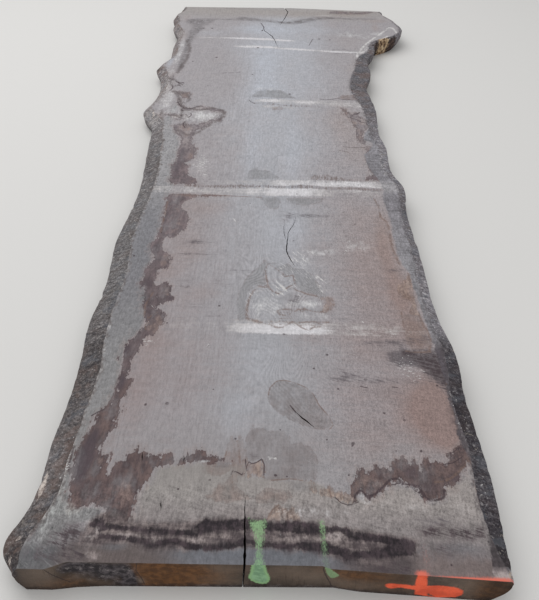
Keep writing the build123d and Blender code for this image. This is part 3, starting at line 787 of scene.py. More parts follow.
GLOW = [
    (-398, -1345, 9, 8, 1.2), (-385, -1390, 24, 22, 0.34), (-340, -1400, 34, 11, 0.28),
    (-404, -1430, 12, 50, 0.2), (196, -1339, 7, 6, 0.4), (204, -1352, 14, 7, 0.2),
    (-116, -1447, 14, 7, 0.8), (-302, -1434, 5, 12, 0.9), (-312, -1448, 8, 4, 0.7),
    (-246, -1444, 34, 4, 0.7), (-186, -1448, 20, 5, 0.35), (-70, -1438, 26, 7, 0.2),
    (80, -1436, 44, 7, 0.3), (142, -1430, 18, 12, 0.5), (-300, -1485, 16, 10, 0.4), (45, -1390, 7, 8, 0.35),
    (320, -1362, 130, 22, 0.1), (-120, -1270, 10, 3, 0.7), (-400, -875, 7, 10, 1.0),
    (-396, -962, 6, 12, 0.7), (430, 1170, 30, 22, 0.5), (382, 1125, 22, 22, 0.3), (376, 975, 14, 20, 0.5),
    (-500, 1180, 16, 40, 0.7), (-466, 700, 14, 40, 0.3), (-445, 420, 26, 90, 0.5), (-285, 285, 36, 34, 0.6),
    (-60, 540, 60, 14, 0.3), (0, -780, 46, 34, 0.28), (90, -770, 36, 14, 0.6), (110, -815, 40, 14, 0.35),
    (80, -590, 34, 24, 0.35), (130, -545, 50, 14, 0.4), (-30, -790, 22, 44, 0.25), (450, -1490, 8, 12, 1.0),
    (432, -1475, 3, 3, 1.4), (436, -1496, 16, 8, 1.0), (-460, 900, 14, 160, 0.5), (-350, 300, 90, 60, 0.3),
    (452, -1484, 8, 16, 1.2), (99, -1380, 70, 12, 0.26), (199, -951, 60, 40, 0.1), (229, -501, 60, 40, 0.2),
    (300, 1154, 70, 40, 0.3), (-230, 299, 30, 24, 0.3),
]
# Lighter, beige parts within the brown stains
LIFT = [
    (-262, -1366, 16, 44, 0.3), (-276, -1326, 24, 18, 0.35), (-330, -1278, 10, 18, 0.5),
    (-290, -1285, 12, 18, 0.2), (196, -1300, 18, 24, 0.45), (220, -1308, 22, 14, 0.3),
    (340, -1272, 18, 14, 0.3), (395, -1240, 20, 12, 0.3), (-296, -430, 22, 50, 0.35),
    (-300, -600, 12, 36, 0.5), (-275, -730, 12, 30, 0.5), (-280, -860, 14, 40, 0.6),
    (-300, -870, 10, 20, 0.4), (-350, 190, 30, 34, 0.5), (-320, 300, 60, 60, 0.3), (-375, 470, 20, 30, 0.7),
    (-392, 285, 30, 20, 0.4), (280, 260, 30, 60, 0.4), (290, 150, 20, 60, 0.5), (310, 20, 14, 60, 0.4),
    (330, 1462, 120, 30, 0.5), (-240, -268, 90, 8, 0.6), (240, 350, 20, 40, 0.7), (270, -1312, 40, 8, 0.6),
    (-300, -330, 12, 30, 0.3), (-330, 130, 20, 20, 0.3), (-300, 0, 10, 60, 0.4), (-270, -178, 20, 14, 0.4),
]
SHADE = [
    (-366, -1278, 18, 52, 0.9), (-358, -1220, 12, 34, 0.6), (-332, -1345, 30, 28, 0.35),
    (-290, -1305, 18, 24, 0.3), (-338, -1262, 8, 24, 0.3), (-332, -545, 12, 34, 0.6),
    (-333, -1060, 12, 34, 0.6), (-340, -956, 10, 26, 0.6), (-330, -700, 16, 30, 0.5),
    (-330, -400, 8, 90, 0.35), (-260, -762, 10, 10, 0.5), (-334, -90, 14, 100, 0.5),
    (-280, -170, 22, 20, 0.3), (-330, 20, 12, 30, 0.4), (300, -1280, 22, 24, 0.4),
    (336, -1316, 22, 24, 0.4), (390, -1290, 20, 12, 0.5), (240, -1296, 20, 12, 0.2),
    (-120, -1266, 16, 10, 0.4), (-240, -1264, 14, 10, 0.3), (352, -955, 60, 26, 0.9),
    (400, -965, 24, 50, 0.5), (412, -1010, 20, 60, 0.7), (330, -900, 60, 12, 0.4),
    (329, -1390, 50, 14, 0.35), (376, -880, 40, 12, 0.3), (390, -990, 26, 40, 0.7),
    (310, -960, 40, 40, 0.35), (300, -1030, 80, 12, 0.3), (200, -1030, 60, 20, 0.28),
    (170, -1010, 30, 30, 0.2), (270, -908, 60, 12, 0.4), (240, -938, 40, 10, 0.2),
    (260, -1065, 60, 12, 0.25), (-200, -790, 50, 14, 0.22), (-140, -828, 30, 8, 0.3),
    (-230, -700, 30, 24, 0.3), (-90, -636, 50, 14, 0.25), (-130, -690, 40, 50, 0.18),
    (-225, -510, 60, 10, 0.5), (-215, -568, 56, 8, 0.45), (-250, -530, 30, 8, 0.25),
    (-90, -520, 60, 8, 0.1), (204, -622, 30, 8, 0.3), (130, -520, 50, 14, 0.16), (330, -620, 34, 10, 0.4),
    (-200, -417, 60, 14, 0.2), (140, -362, 110, 10, 0.25), (90, -362, 60, 14, 0.2), (27, -370, 22, 50, 0.3),
    (0, -550, 20, 30, 0.15), (-20, -660, 10, 30, 0.1), (60, -753, 16, 26, 0.6), (-300, 220, 60, 50, 0.2),
    (-225, 280, 14, 50, 0.5), (-250, 345, 50, 12, 0.5), (-380, 190, 14, 20, 0.5), (30, 1305, 60, 16, 0.5),
    (200, 1380, 70, 10, 0.7), (-205, 1366, 30, 6, 0.5), (-430, 755, 10, 30, 0.6), (-436, 1040, 10, 60, 0.3),
    (-420, 1285, 50, 30, 0.3), (260, 970, 60, 16, 0.3), (240, 925, 50, 10, 0.3), (-470, 1420, 40, 50, 0.1),
    (-240, 1490, 200, 8, 0.3), (330, 1466, 90, 12, 0.5), (-75, -1414, 40, 12, 0.5),
    (90, -1412, 30, 10, 0.5), (210, -1432, 50, 10, 0.7), (180, -1464, 30, 7, 0.7),
    (262, -1446, 26, 16, 0.5), (-290, -1428, 16, 16, 0.4), (-225, -1448, 26, 5, 0.8),
    (390, -1440, 40, 30, 0.15), (-395, -1480, 50, 20, 0.25), (-345, -1445, 20, 20, 0.4),
    (-310, -1400, 16, 16, 0.3), (340, 60, 10, 60, 0.3), (330, -130, 14, 30, 0.3), (-100, 470, 30, 10, 0.2),
    (20, 458, 50, 6, 0.4), (-50, 415, 50, 5, 0.6), (280, 480, 50, 20, 0.3), (110, -1256, 10, 40, 0.1),
    (75, -1262, 26, 34, 0.18), (-20, -1250, 16, 12, 0.3), (60, -1322, 30, 12, 0.1),
    (-84, -1282, 26, 18, 0.2), (-453, 600, 14, 50, 0.7), (-479, 1000, 14, 60, 0.4),
    (384, -1000, 16, 26, 0.3), (-60, -1440, 50, 7, 0.5), (-430, -1418, 20, 30, 0.4),
]
TAN = [
    (375, -1110, 50, 110, 1.0), (390, -1180, 30, 40, 0.7), (340, -1130, 60, 60, 0.5),
    (362, -872, 28, 60, 0.9), (310, -870, 60, 60, 0.4), (318, -500, 26, 180, 0.6),
    (290, -420, 80, 160, 0.3), (290, -600, 70, 120, 0.3), (345, -720, 30, 100, 0.8),
    (300, -740, 80, 90, 0.35), (240, -960, 70, 50, 0.4), (180, -880, 120, 40, 0.3), (270, 40, 50, 100, 0.3),
    (240, 250, 60, 160, 0.35), (210, -460, 110, 220, 0.15), (200, -700, 140, 160, 0.15),
    (-250, -420, 60, 200, 0.2), (-260, -560, 60, 90, 0.2), (-290, -660, 30, 30, 0.3),
    (-180, -740, 60, 40, 0.2), (-230, -330, 80, 50, 0.3), (-200, -1000, 120, 160, 0.15),
    (-290, -1040, 30, 140, 0.25), (-280, -920, 40, 40, 0.3), (150, -765, 16, 30, 0.6),
    (-20, 1440, 440, 60, 0.35), (100, 1440, 200, 50, 0.3), (330, 1425, 90, 20, 0.6),
    (250, -1200, 140, 70, 0.3), (180, 250, 120, 160, 0.15), (300, -1060, 110, 60, 0.35),
    (-20, -1388, 60, 14, 0.7), (-150, 120, 100, 200, 0.1), (-465, 560, 30, 160, 0.4),
    (-480, 900, 20, 120, 0.2), (-480, 1100, 30, 80, 0.4), (-480, 1340, 30, 50, 0.4),
    (-455, 220, 20, 90, 0.8), (306, -1470, 9, 40, 0.4), (350, -1440, 50, 12, 0.2),
    (320, -1415, 30, 16, 0.5), (430, 1260, 16, 60, 0.4), (300, 1060, 60, 120, 0.2),
    (440, 1350, 60, 30, 0.5), (300, 720, 30, 160, 0.3), (-300, -1485, 18, 10, 0.9),
    (150, -1425, 16, 14, 0.4), (-14, -1285, 14, 16, 0.4), (140, -1000, 80, 40, -0.2),
    (110, -660, 50, 50, -0.1), (240, -1010, 60, 40, -0.2), (440, -1490, 30, 14, 0.4),
]
# Painted sheen of the sky: bluish, brighter patches, mostly along the heart of the sawn face
SKY_SHEEN = [
    (-70, 700, 60, 260, 0.9), (-60, 500, 80, 90, 0.5), (-90, 80, 30, 200, 0.5), (50, 40, 30, 200, 0.5),
    (-100, 1210, 100, 70, 0.7), (-60, 1300, 60, 20, 0.4), (0, 1010, 260, 90, 0.3), (20, -440, 60, 160, 0.3),
    (-100, 900, 80, 120, 0.5), (120, 650, 60, 200, 0.2), (-485, 840, 12, 90, 1.0), (0, 1200, 240, 60, 0.5),
    (-20, -980, 60, 90, 0.25), (-60, -1140, 40, 60, 0.3), (60, -430, 40, 80, 0.3),
    (-330, 1140, 80, 40, 0.3),
]
COLD = [
    (-60, -1474, 110, 14, 0.9), (60, -1476, 70, 14, 0.85), (-395, -1476, 40, 20, 0.3),
    (-270, -1466, 24, 8, 0.7), (370, -1444, 40, 10, 0.6), (-440, -1440, 30, 60, 0.2),
    (-84, -1276, 18, 14, 0.4), (75, -1322, 20, 12, 0.5), (-370, -560, 26, 100, 0.25),
    (-375, -420, 20, 60, 0.25),
]
FLECKS = [
    (356, -40, 16, 90, 1.1), (-256, -70, 30, 60, 1.3), (93, -548, 60, 12, 0.7), (78, -578, 34, 18, 0.9),
    (204, -542, 12, 12, 1.1), (104, -640, 46, 36, 0.6), (24, -716, 14, 24, 1.1), (428, -1143, 10, 46, 1.3),
    (14, -1256, 18, 5, 1.6), (-290, 276, 50, 52, 0.9), (38, -1377, 8, 6, 1.0), (300, -875, 24, 12, 1.1),
    (320, -960, 30, 30, 0.5), (310, -1000, 30, 30, 0.5), (440, -1330, 10, 60, 0.8),
    (-236, -140, 12, 20, 1.0), (-149, -342, 20, 12, 1.0), (-118, -395, 14, 14, 0.9),
    (0, -740, 120, 60, 0.35), (130, -690, 14, 40, 1.0), (398, -1480, 50, 14, 0.15),
    (-444, -1440, 12, 14, 1.2), (-470, 500, 30, 120, 0.8), (-440, 390, 16, 40, 1.0),
    (-480, 680, 20, 60, 0.7), (-400, 330, 30, 20, 0.6), (-250, 200, 30, 20, 0.4), (350, -1010, 20, 30, 0.6),
    (-403, -1245, 6, 60, 1.5), (-410, -950, 8, 20, 1.4), (-290, -925, 24, 18, 0.8),
    (-470, 560, 30, 60, 0.7), (346, 340, 12, 30, 1.2), (-460, -660, 10, 40, 0.6), (-150, -190, 10, 6, 0.5),
    (30, -650, 50, 80, 0.5), (-300, -780, 14, 30, 0.5), (-146, -936, 5, 10, 1.4), (234, -830, 4, 6, 1.5),
    (420, -1060, 12, 40, 0.8), (-400, -1300, 12, 40, 0.9), (280, -438, 5, 5, 1.4),
]
ORANGE_HAZE = [
    (294, -1497, 12, 7, 1.1), (306, -1466, 8, 30, 0.2), (370, -1503, 90, 3.4, 1.0),
    (425, -1504, 50, 3.4, 0.9), (330, -1450, 40, 50, 0.06), (400, -1496, 60, 8, 0.16),
]
# Painted highlight: whitish glint lines along the raised lip that curves round the burl, and one short pale
# streak on the far left
GLINT_AND_PALE_LINES = [
    (6.0, [(321, 890), (326, 920), (338, 965), (360, 1021), (398, 1096), (442, 1170), (478, 1230),
     (496, 1268), (510, 1262), (520, 1230), (527, 1193)]),
    (5.0, [(340, 930), (366, 974), (419, 1073), (455, 1120), (481, 1151)]),
    (2.6, [(-520, 1160), (-510, 1200), (-498, 1225)]),
]
# Where the grain curls into contour lines
CURL = [
    (20, -720, 130, 170, 1.0), (70, -1090, 110, 110, 0.7), (-80, -620, 60, 60, 0.6),
    (30, -980, 90, 60, 0.5), (-330, 300, 90, 120, 0.5), (30, 470, 120, 60, 0.4), (40, -430, 60, 80, 0.4),
]
# How far stain edges and thin lines are followed, in metres, and the half width lines are scaled to, in mm
REACH = 0.06
LINE_REACH = 0.02
LINE_FAR = 0.03
LINE_WIDTH = 1.5
# How steeply soft patches end, and the most they add up to
PATCH_EDGE = 1.3
PATCH_MOST = 1.3


def outline_distance(x, y, outline):
    """Distance to a closed outline in metres, positive inside it, and never more than REACH."""
    points = np.array(outline, float) * MM
    low = points.min(axis=0) - REACH
    high = points.max(axis=0) + REACH
    result = np.full(len(x), -REACH)
    near = np.where((x > low[0]) & (x < high[0]) & (y > low[1]) & (y < high[1]))[0]
    if len(near) == 0:
        return result
    px = x[near]
    py = y[near]
    best = np.full(len(near), 1e9)
    inside = np.zeros(len(near), bool)
    for (ax, ay), (bx, by) in zip(points, np.roll(points, -1, axis=0)):
        dx = bx - ax
        dy = by - ay
        t = np.clip(((px - ax) * dx + (py - ay) * dy) / (dx * dx + dy * dy), 0, 1)
        best = np.minimum(best, (px - ax - t * dx) ** 2 + (py - ay - t * dy) ** 2)
        crosses = (ay > py) != (by > py)
        inside ^= crosses & (px < dx * (py - ay) / (dy if dy else 1.0) + ax)
    best = np.sqrt(best)
    result[near] = np.clip(np.where(inside, best, -best), -REACH, REACH)
    return result


def any_outline(x, y, outlines):
    """Distance inside the nearest of several outlines."""
    result = np.full(len(x), -REACH)
    for outline in outlines:
        result = np.maximum(result, outline_distance(x, y, outline))
    return result


def line_offsets(x, y, lines, spacing):
    """The way from each vertex to the nearest thin line, scaled so that every line is equally wide.

    Its length stays exact between vertices, so lines thinner than the mesh keep their shape. The third
    part grows beyond the spacing of the vertices, so that no line appears between two others.
    """
    best = np.full(len(x), LINE_REACH)
    offset = np.zeros((len(x), 3))
    offset[:, 2] = LINE_FAR
    for half, line in lines:
        points = np.array(line, float) * MM
        scale = LINE_WIDTH / half
        if len(points) == 1:
            points = np.concatenate([points, points + 1e-6])
        for (ax, ay), (bx, by) in zip(points, points[1:]):
            dx = bx - ax
            dy = by - ay
            t = np.clip(((x - ax) * dx + (y - ay) * dy) / (dx * dx + dy * dy), 0, 1)
            ox = (ax + t * dx - x) * scale
            oy = (ay + t * dy - y) * scale
            far = np.hypot(ox, oy)
            nearer = far < best
            best = np.where(nearer, far, best)
            offset[nearer, 0] = ox[nearer]
            offset[nearer, 1] = oy[nearer]
            offset[nearer, 2] = np.clip(far[nearer] - spacing[nearer] * scale, 0, LINE_REACH) * 2
    return offset


def patches(x, y, listed):
    """Soft round patches, added up."""
    total = np.zeros(len(x))
    for cx, cy, rx, ry, weight in listed:
        d2 = ((x - cx * MM) / (rx * MM)) ** 2 + ((y - cy * MM) / (ry * MM)) ** 2
        total += weight * np.exp(-d2 ** PATCH_EDGE)
    return np.clip(total, 0, PATCH_MOST)


# Marks on the near end, as outlines in mm: across, and above the underside
END_GREEN = [
    [(-9, 82), (-13, 50), (-17, 32), (-12, 21), (0, 12), (8, 9), (17, 12), (23, 22), (22, 34), (17, 52),
     (13, 82)],
    [(122, 82), (123, 64), (126, 52), (130, 42), (135, 36), (140, 42), (148, 52), (144, 60), (135, 68),
     (129, 82)],
]
END_ORANGE = [
    [(287, 84), (287, 46), (290, 20), (292, -6), (314, -6), (312, 20), (308, 46), (303, 84)],
    [(234, 33), (240, 37), (262, 37), (290, 34), (330, 42), (360, 40), (375, 30), (377, 16), (364, 0),
     (340, -6), (326, 2), (312, 16), (290, 20), (262, 25), (244, 18), (236, 23)],
]
END_MOULD = [
    (-300, 56, 52, 22, 1.0), (-336, 62, 30, 16, 0.9), (-262, 42, 30, 26, 0.8), (-300, 26, 40, 12, 0.5),
    (-232, 22, 12, 24, 0.8), (-240, 66, 16, 14, 0.5), (150, 2, 200, 7, 0.5), (-60, 2, 120, 6, 0.5),
    (-444, 60, 12, 24, 0.9), (-245, 6, 24, 12, 0.9), (440, 30, 16, 50, 0.2), (-238, 30, 12, 26, 0.9),
]
END_ORANGE_WOOD = [
    (-160, 45, 80, 50, 1.0), (-110, 25, 56, 30, 0.9), (-200, 30, 50, 40, 0.9), (150, 62, 50, 26, 0.5),
    (200, 60, 60, 26, 0.35), (240, 40, 50, 40, 0.35), (175, 20, 40, 40, 0.3), (-355, 15, 60, 24, 0.6),
    (430, 40, 40, 50, 0.9), (-60, 60, 30, 20, 0.3), (60, 40, 60, 40, 0.1),
]
END_PALE_WOOD = [
    (-60, 62, 30, 18, 0.7), (-400, 40, 34, 40, 0.7), (-380, 66, 30, 20, 0.6), (185, 22, 40, 20, 0.7),
    (-219, 17, 9, 11, 1.3), (-60, 20, 50, 30, 0.5), (60, 50, 60, 40, 0.6), (370, 40, 34, 40, 0.6),
    (120, 30, 40, 30, 0.6), (-310, 20, 8, 9, 0.8), (-264, 36, 6, 14, 0.7), (-330, 30, 14, 9, 0.7),
    (250, 30, 40, 30, 0.2),
]
END_LINES = [
    (1.6, [(121, 80), (120, 60), (125, 42), (131, 25), (140, -2)]),
    (1.4, [(-385, 76), (-372, 52), (-356, 30), (-345, 18)]),
    (1.4, [(-218, 74), (-222, 50), (-214, 25), (-210, 5)]),
]
# Bare wood on the bark sides: centre, reach across and along in mm, and weight
BARE = [
    (-441, -1325, 6, 32, 1.1), (458, 1106, 28, 38, 1.2), (-455, -1490, 8, 8, 0.6), (-448, -1452, 5, 6, 0.8),
    (395, -820, 8, 40, 0.4), (-478, 330, 10, 60, 0.5), (-462, 450, 8, 50, 0.5), (452, -1492, 12, 12, 0.5),
]
# Bark that still clings under the burl
BARK = [
    (440, 1095, 76, 60, 1.2), (480, 1130, 40, 50, 1.0), (-520, 1120, 30, 60, 0.5), (-530, 780, 20, 50, 0.5),
]
# Tone along each bark side: place along the length in mm, then a tone from dark 0 to pale 1
LEFT_TONE = [
    (-1530, 0.25), (-1490, 0.3), (-1450, 0.42), (-1400, 0.42), (-1350, 0.5), (-1300, 0.6), (-1240, 0.5),
    (-1150, 0.42), (-1000, 0.4), (-800, 0.5), (-600, 0.6), (-300, 0.6), (0, 0.54), (200, 0.68), (320, 0.86),
    (600, 0.74), (900, 0.76), (1150, 0.8), (1300, 0.7), (1530, 0.6),
]
# On the right, the dark stretch from about -1476 to -900 mm is partly painted shade where that side slopes
# away
RIGHT_TONE = [
    (-1530, 0.95), (-1486, 0.9), (-1476, 0.1), (-1428, 0.02), (-1420, 0.12), (-1380, 0.2), (-1330, 0.3),
    (-1300, 0.3), (-1280, 0.2), (-1190, 0.2), (-1100, 0.16), (-1020, 0.2), (-950, 0.22), (-900, 0.3),
    (-860, 0.72), (-760, 0.76), (-700, 0.72), (-500, 0.58), (-300, 0.5), (-100, 0.66), (150, 0.7),
    (350, 0.6), (480, 0.5), (700, 0.48), (800, 0.52), (900, 0.5), (1000, 0.55), (1150, 0.6), (1300, 0.62),
    (1530, 0.5),
]


TOP_OUTLINES = {
    "tide": TIDE, "band": BAND, "dark": DARK, "blotch": BLOTCH, "faint": FAINT, "sap": SAPWOOD,
    "below": BELOW, "green_top": GREEN, "rust": RUST, "smoke": SMOKE, "mark": MARKS, "ticks": TICKS,
    "rind": RIND,
}
TOP_PATCHES = {
    "pale": PALE, "shade": SHADE, "tan": TAN, "blue": SKY_SHEEN, "cold": COLD, "fleck": FLECKS,
    "haze": ORANGE_HAZE, "glow": GLOW, "lift": LIFT, "curl": CURL,
}
SIDE_PATCHES = {"bare": BARE, "bark": BARK}
END_OUTLINES = {"green_end": END_GREEN, "orange_end": END_ORANGE}
END_PATCHES = {"mould": END_MOULD, "warm": END_ORANGE_WOOD, "light": END_PALE_WOOD}
# Vertices that count as the sawn face and as the near end
TOP_DEPTH = 0.012
NEAR_END = -1.46
# Spacing of the vertices along the slab, beyond and before one place
SPACING_CHANGE = -1.0
SPACING_FAR = 0.0115
SPACING_NEAR = 0.0068
CUT_MOST = 0.2


def paint_attributes(mesh):
    """Gives each vertex how far it lies inside each stain and mark."""
    count = len(mesh.vertices)
    places = np.zeros(count * 3)
    mesh.vertices.foreach_get("co", places)
    x, y, z = places.reshape(-1, 3).T
    top = np.where(z > THICK - TOP_DEPTH)[0]
    near_end = np.where(y < NEAR_END)[0]
    everywhere = np.arange(count)
    values = {}
    for listed, work, rest, some, up in (
        (TOP_OUTLINES, any_outline, -REACH, top, y),
        (TOP_PATCHES, patches, 0.0, top, y),
        (SIDE_PATCHES, patches, 0.0, everywhere, y),
        (END_OUTLINES, any_outline, -REACH, near_end, z),
        (END_PATCHES, patches, 0.0, near_end, z),
    ):
        for name, shapes in listed.items():
            values[name] = np.full(count, rest)
            values[name][some] = work(x[some], up[some], shapes)
    tone_left, tone_right = [
        np.interp(y, [a * MM for a, b in tones], [b for a, b in tones]) for tones in (LEFT_TONE, RIGHT_TONE)
    ]
    values["tone"] = np.where(x < 0, tone_left, tone_right)
    values["cut"] = np.clip(y - near_y(x, z), 0, CUT_MOST)
    from_left = x - np.interp(y, *arris["left"])
    from_right = np.interp(y, *arris["right"]) - x
    values["inset"] = np.clip(np.minimum(from_left, from_right), -REACH, REACH)
    for name, value in values.items():
        attribute = mesh.attributes.new(name, "FLOAT", "POINT")
        attribute.data.foreach_set("value", value.astype(np.float32))
    spacing = np.where(y > SPACING_CHANGE, SPACING_FAR, SPACING_NEAR)
    spots = [(half, [(cx, cy)]) for cx, cy, half in SPOTS]
    for name, some, up, lines in (
        ("dark_lines", top, y, DARK_LINES + spots),
        ("warm_lines", top, y, WARM_LINES),
        ("glint_and_pale_lines", top, y, GLINT_AND_PALE_LINES),
        ("end_lines", near_end, z, END_LINES),
    ):
        offsets = np.zeros((count, 3))
        offsets[:, 2] = LINE_FAR
        offsets[some] = line_offsets(x[some], up[some], lines, spacing[some])
        attribute = mesh.attributes.new(name, "FLOAT_VECTOR", "POINT")
        attribute.data.foreach_set("vector", offsets.astype(np.float32).ravel())


# Shaders

WOOD_SHINE = 0.25
# Colours that change along the length: share of it, then screen values, with both ends first
SAP_STOPS = [
    (0.0, (128, 127, 127)), (1.0, (146, 145, 147)), (0.17, (128, 128, 129)), (0.27, (114, 114, 118)),
    (0.38, (122, 122, 126)), (0.45, (144, 143, 145)),
]
# The rind's dark stops, from 0.007 to 0.192 of the length, are partly painted shade where the right edge
# slopes away
RIND_STOPS = [
    (0.0, (140, 130, 130)), (1.0, (140, 136, 138)), (0.004, (140, 130, 130)), (0.007, (62, 56, 59)),
    (0.024, (60, 54, 57)), (0.031, (80, 74, 75)), (0.056, (80, 73, 75)), (0.12, (76, 72, 77)),
    (0.192, (82, 76, 81)), (0.206, (120, 118, 122)), (0.3, (130, 129, 133)), (0.4, (117, 115, 120)),
    (0.424, (118, 116, 121)), (0.432, (150, 148, 151)), (0.446, (146, 144, 147)), (0.454, (120, 118, 123)),
    (0.55, (128, 127, 132)), (0.66, (112, 110, 115)), (0.78, (106, 104, 110)),
]
# Colour of the bark sides and of the bare wood on them, from dark to pale
BARK_STOPS = [
    (0.0, (42, 38, 41)), (1.0, (172, 168, 168)), (0.22, (62, 58, 61)), (0.45, (92, 88, 89)),
    (0.66, (118, 114, 116)), (0.82, (140, 136, 138)),
]
BARE_STOPS = [(0.0, (46, 33, 28)), (1.0, (226, 208, 176)), (0.3, (92, 68, 52)), (0.5, (172, 144, 112))]
# Cast of the left bark side along the length, as factors for red, green and blue
CAST_STOPS = [
    (0.0, (0.97, 0.94, 0.91, 1.0)), (1.0, (1.0, 0.97, 0.95, 1.0)), (0.12, (0.97, 0.94, 0.91, 1.0)),
    (0.28, (0.96, 0.98, 0.96, 1.0)), (0.6, (0.98, 0.98, 0.97, 1.0)), (0.75, (1.0, 0.96, 0.94, 1.0)),
]
CAST_RIGHT = (0.98, 0.99, 1.04, 1.0)
# Brown of the tide marks: where it changes along the slab, then its dark and its light tone
TIDE_BROWNS = [
    (-1.15, -0.95, (70, 58, 62), (100, 87, 89)), (-0.8, -0.5, (84, 73, 77), (118, 105, 107)),
    (-0.1, 0.2, (112, 103, 107), (152, 144, 144)),
]
# Foot of the sawn face: where its colour changes across the slab, then the colour
FOOT_CHANGES = [(-0.35, -0.38, (88, 88, 90)), (0.1, 0.2, (74, 65, 66)), (0.26, 0.31, (114, 102, 100))]
# Brightness of the near end: where it changes across the slab, then the change. The rises at 0 to 0.1 m and
# at 0.24 to 0.33 m are painted light on the right part, which turns away from the lamps
END_LEVELS = [
    (0.0, 0.10, 0.96, 1.06), (0.14, 0.18, 0.0, -0.14), (0.24, 0.33, 0.0, 0.26), (0.385, 0.435, 0.0, -0.66),
    (-0.42, -0.445, 0.0, -0.2),
]


def rgb(r, g, b):
    """A colour given as screen values from 0 to 255."""
    parts = [c / 255 for c in (r, g, b)]
    return tuple(c / 12.92 if c <= 0.04045 else ((c + 0.055) / 1.055) ** 2.4 for c in parts) + (1.0,)


class Shader:
    """A material whose nodes are made by short calls."""

    def __init__(self, name):
        self.material = bpy.data.materials.new(name)
        self.material.use_nodes = True
        self.nodes = self.material.node_tree.nodes
        self.links = self.material.node_tree.links
        self.bsdf = self.nodes["Principled BSDF"]
        self.place = self.nodes.new("ShaderNodeTexCoord").outputs["Object"]

    def feed(self, socket, value):
        """Links a value to a socket, or sets it there when it is a constant."""
        if isinstance(value, bpy.types.NodeSocket):
            self.links.new(value, socket)
        elif isinstance(value, (int, float)) and socket.type == "RGBA":
            socket.default_value = (value, value, value, 1.0)
        else:
            socket.default_value = value

    def node(self, kind, inputs, output=0, **settings):
        """A new node with its settings and inputs, given as the output that is wanted."""
        made = self.nodes.new("ShaderNode" + kind)
        for name, value in settings.items():
            setattr(made, name, value)
        for socket, value in inputs.items():
            self.feed(made.inputs[socket], value)
        return made.outputs[output]

    def math(self, operation, a, b=0.0, clamp=False):
        return self.node("Math", {0: a, 1: b}, operation=operation, use_clamp=clamp)

    def axis(self, name):
        return self.node("SeparateXYZ", {0: self.place}, name)

    def attribute(self, name, output="Fac"):
        return self.node("Attribute", {}, output, attribute_name=name)

    def line(self, name, wander, low, high):
        """A thin line, from the vector that leads to it, with its place shifted by a little noise."""
        way = self.attribute(name, "Vector")
        length = self.node("VectorMath", {0: way}, "Value", operation="LENGTH")
        return self.step(self.add(length, wander), low, high, 1.0, 0.0)

    def step(self, value, low, high, start=0.0, end=1.0, kind="SMOOTHSTEP"):
        """A soft step from one number to another while the value goes from low to high."""
        ends = {"Value": value, "From Min": low, "From Max": high, "To Min": start, "To Max": end}
        return self.node("MapRange", ends, interpolation_type=kind)

    def share(self, value, low, high):
        """Where a value lies between two others, from 0 to 1."""
        return self.step(value, low, high, kind="LINEAR")

    def stretch(self, vector, scale):
        return self.node("VectorMath", {0: vector, 1: scale}, operation="MULTIPLY")

    def turn(self, vector, degrees):
        inputs = {"Vector": vector, "Angle": math.radians(degrees)}
        return self.node("VectorRotate", inputs, rotation_type="Z_AXIS")

    def noise(self, vector, scale, detail=2.0, roughness=0.55, distortion=0.0):
        """Noise centred on nothing, from about -0.25 to 0.25."""
        inputs = {"Vector": self.stretch(vector, scale), "Scale": 1.0}
        inputs.update({"Detail": detail, "Roughness": roughness, "Distortion": distortion})
        return self.math("SUBTRACT", self.node("TexNoise", inputs, "Fac"), 0.5)

    def wandering(self):
        """The place, shifted so that the grain wanders as it runs along the slab."""
        inputs = {"Vector": self.stretch(self.place, (2.6, 1.5, 1.0)), "Scale": 1.0, "Detail": 2.0}
        drift = self.node("TexNoise", inputs, "Color")
        inputs = {0: drift, 1: (0.07, 0.0, 0.0), 2: self.place}
        return self.node("VectorMath", inputs, operation="MULTIPLY_ADD")

    def mix(self, factor, a, b):
        return self.node("Mix", {0: factor, 6: a, 7: b}, 2, data_type="RGBA", clamp_factor=True)

    def coat(self, colour, *factors):
        """Lays a colour over what is there, as strongly as all the factors multiplied."""
        self.colour = self.mix(self.both(*factors), self.colour, colour)

    def ramp(self, value, stops):
        """A colour that follows a value through several stops, given as screen values or as factors."""
        node = self.nodes.new("ShaderNodeValToRGB")
        elements = node.color_ramp.elements
        for k, (position, colour) in enumerate(stops):
            stop = elements[k] if k < 2 else elements.new(position)
            stop.position = position
            stop.color = rgb(*colour) if len(colour) == 3 else colour
        self.feed(node.inputs[0], value)
        return node.outputs[0]

    def times(self, colour, factor):
        return self.node("VectorMath", {0: colour, "Scale": factor}, operation="SCALE")

    def add(self, *values):
        """The sum of values, where a pair is a value and its weight."""
        parts = [self.both(*value) if isinstance(value, tuple) else value for value in values]
        total = parts[0]
        for part in parts[1:]:
            total = self.math("ADD", total, part)
        return total

    def both(self, *values):
        """The product of values."""
        total = values[0]
        for value in values[1:]:
            total = self.math("MULTIPLY", total, value)
        return total

    def bump(self, height, distance, strength=1.0):
        return self.node("Bump", {"Strength": strength, "Distance": distance, "Height": height})

    def finish(self, roughness, normal):
        inputs = {"Base Color": self.colour, "Roughness": roughness, "Normal": normal}
        inputs["Specular IOR Level"] = WOOD_SHINE
        for socket, value in inputs.items():
            self.feed(self.bsdf.inputs[socket], value)
        return self.material


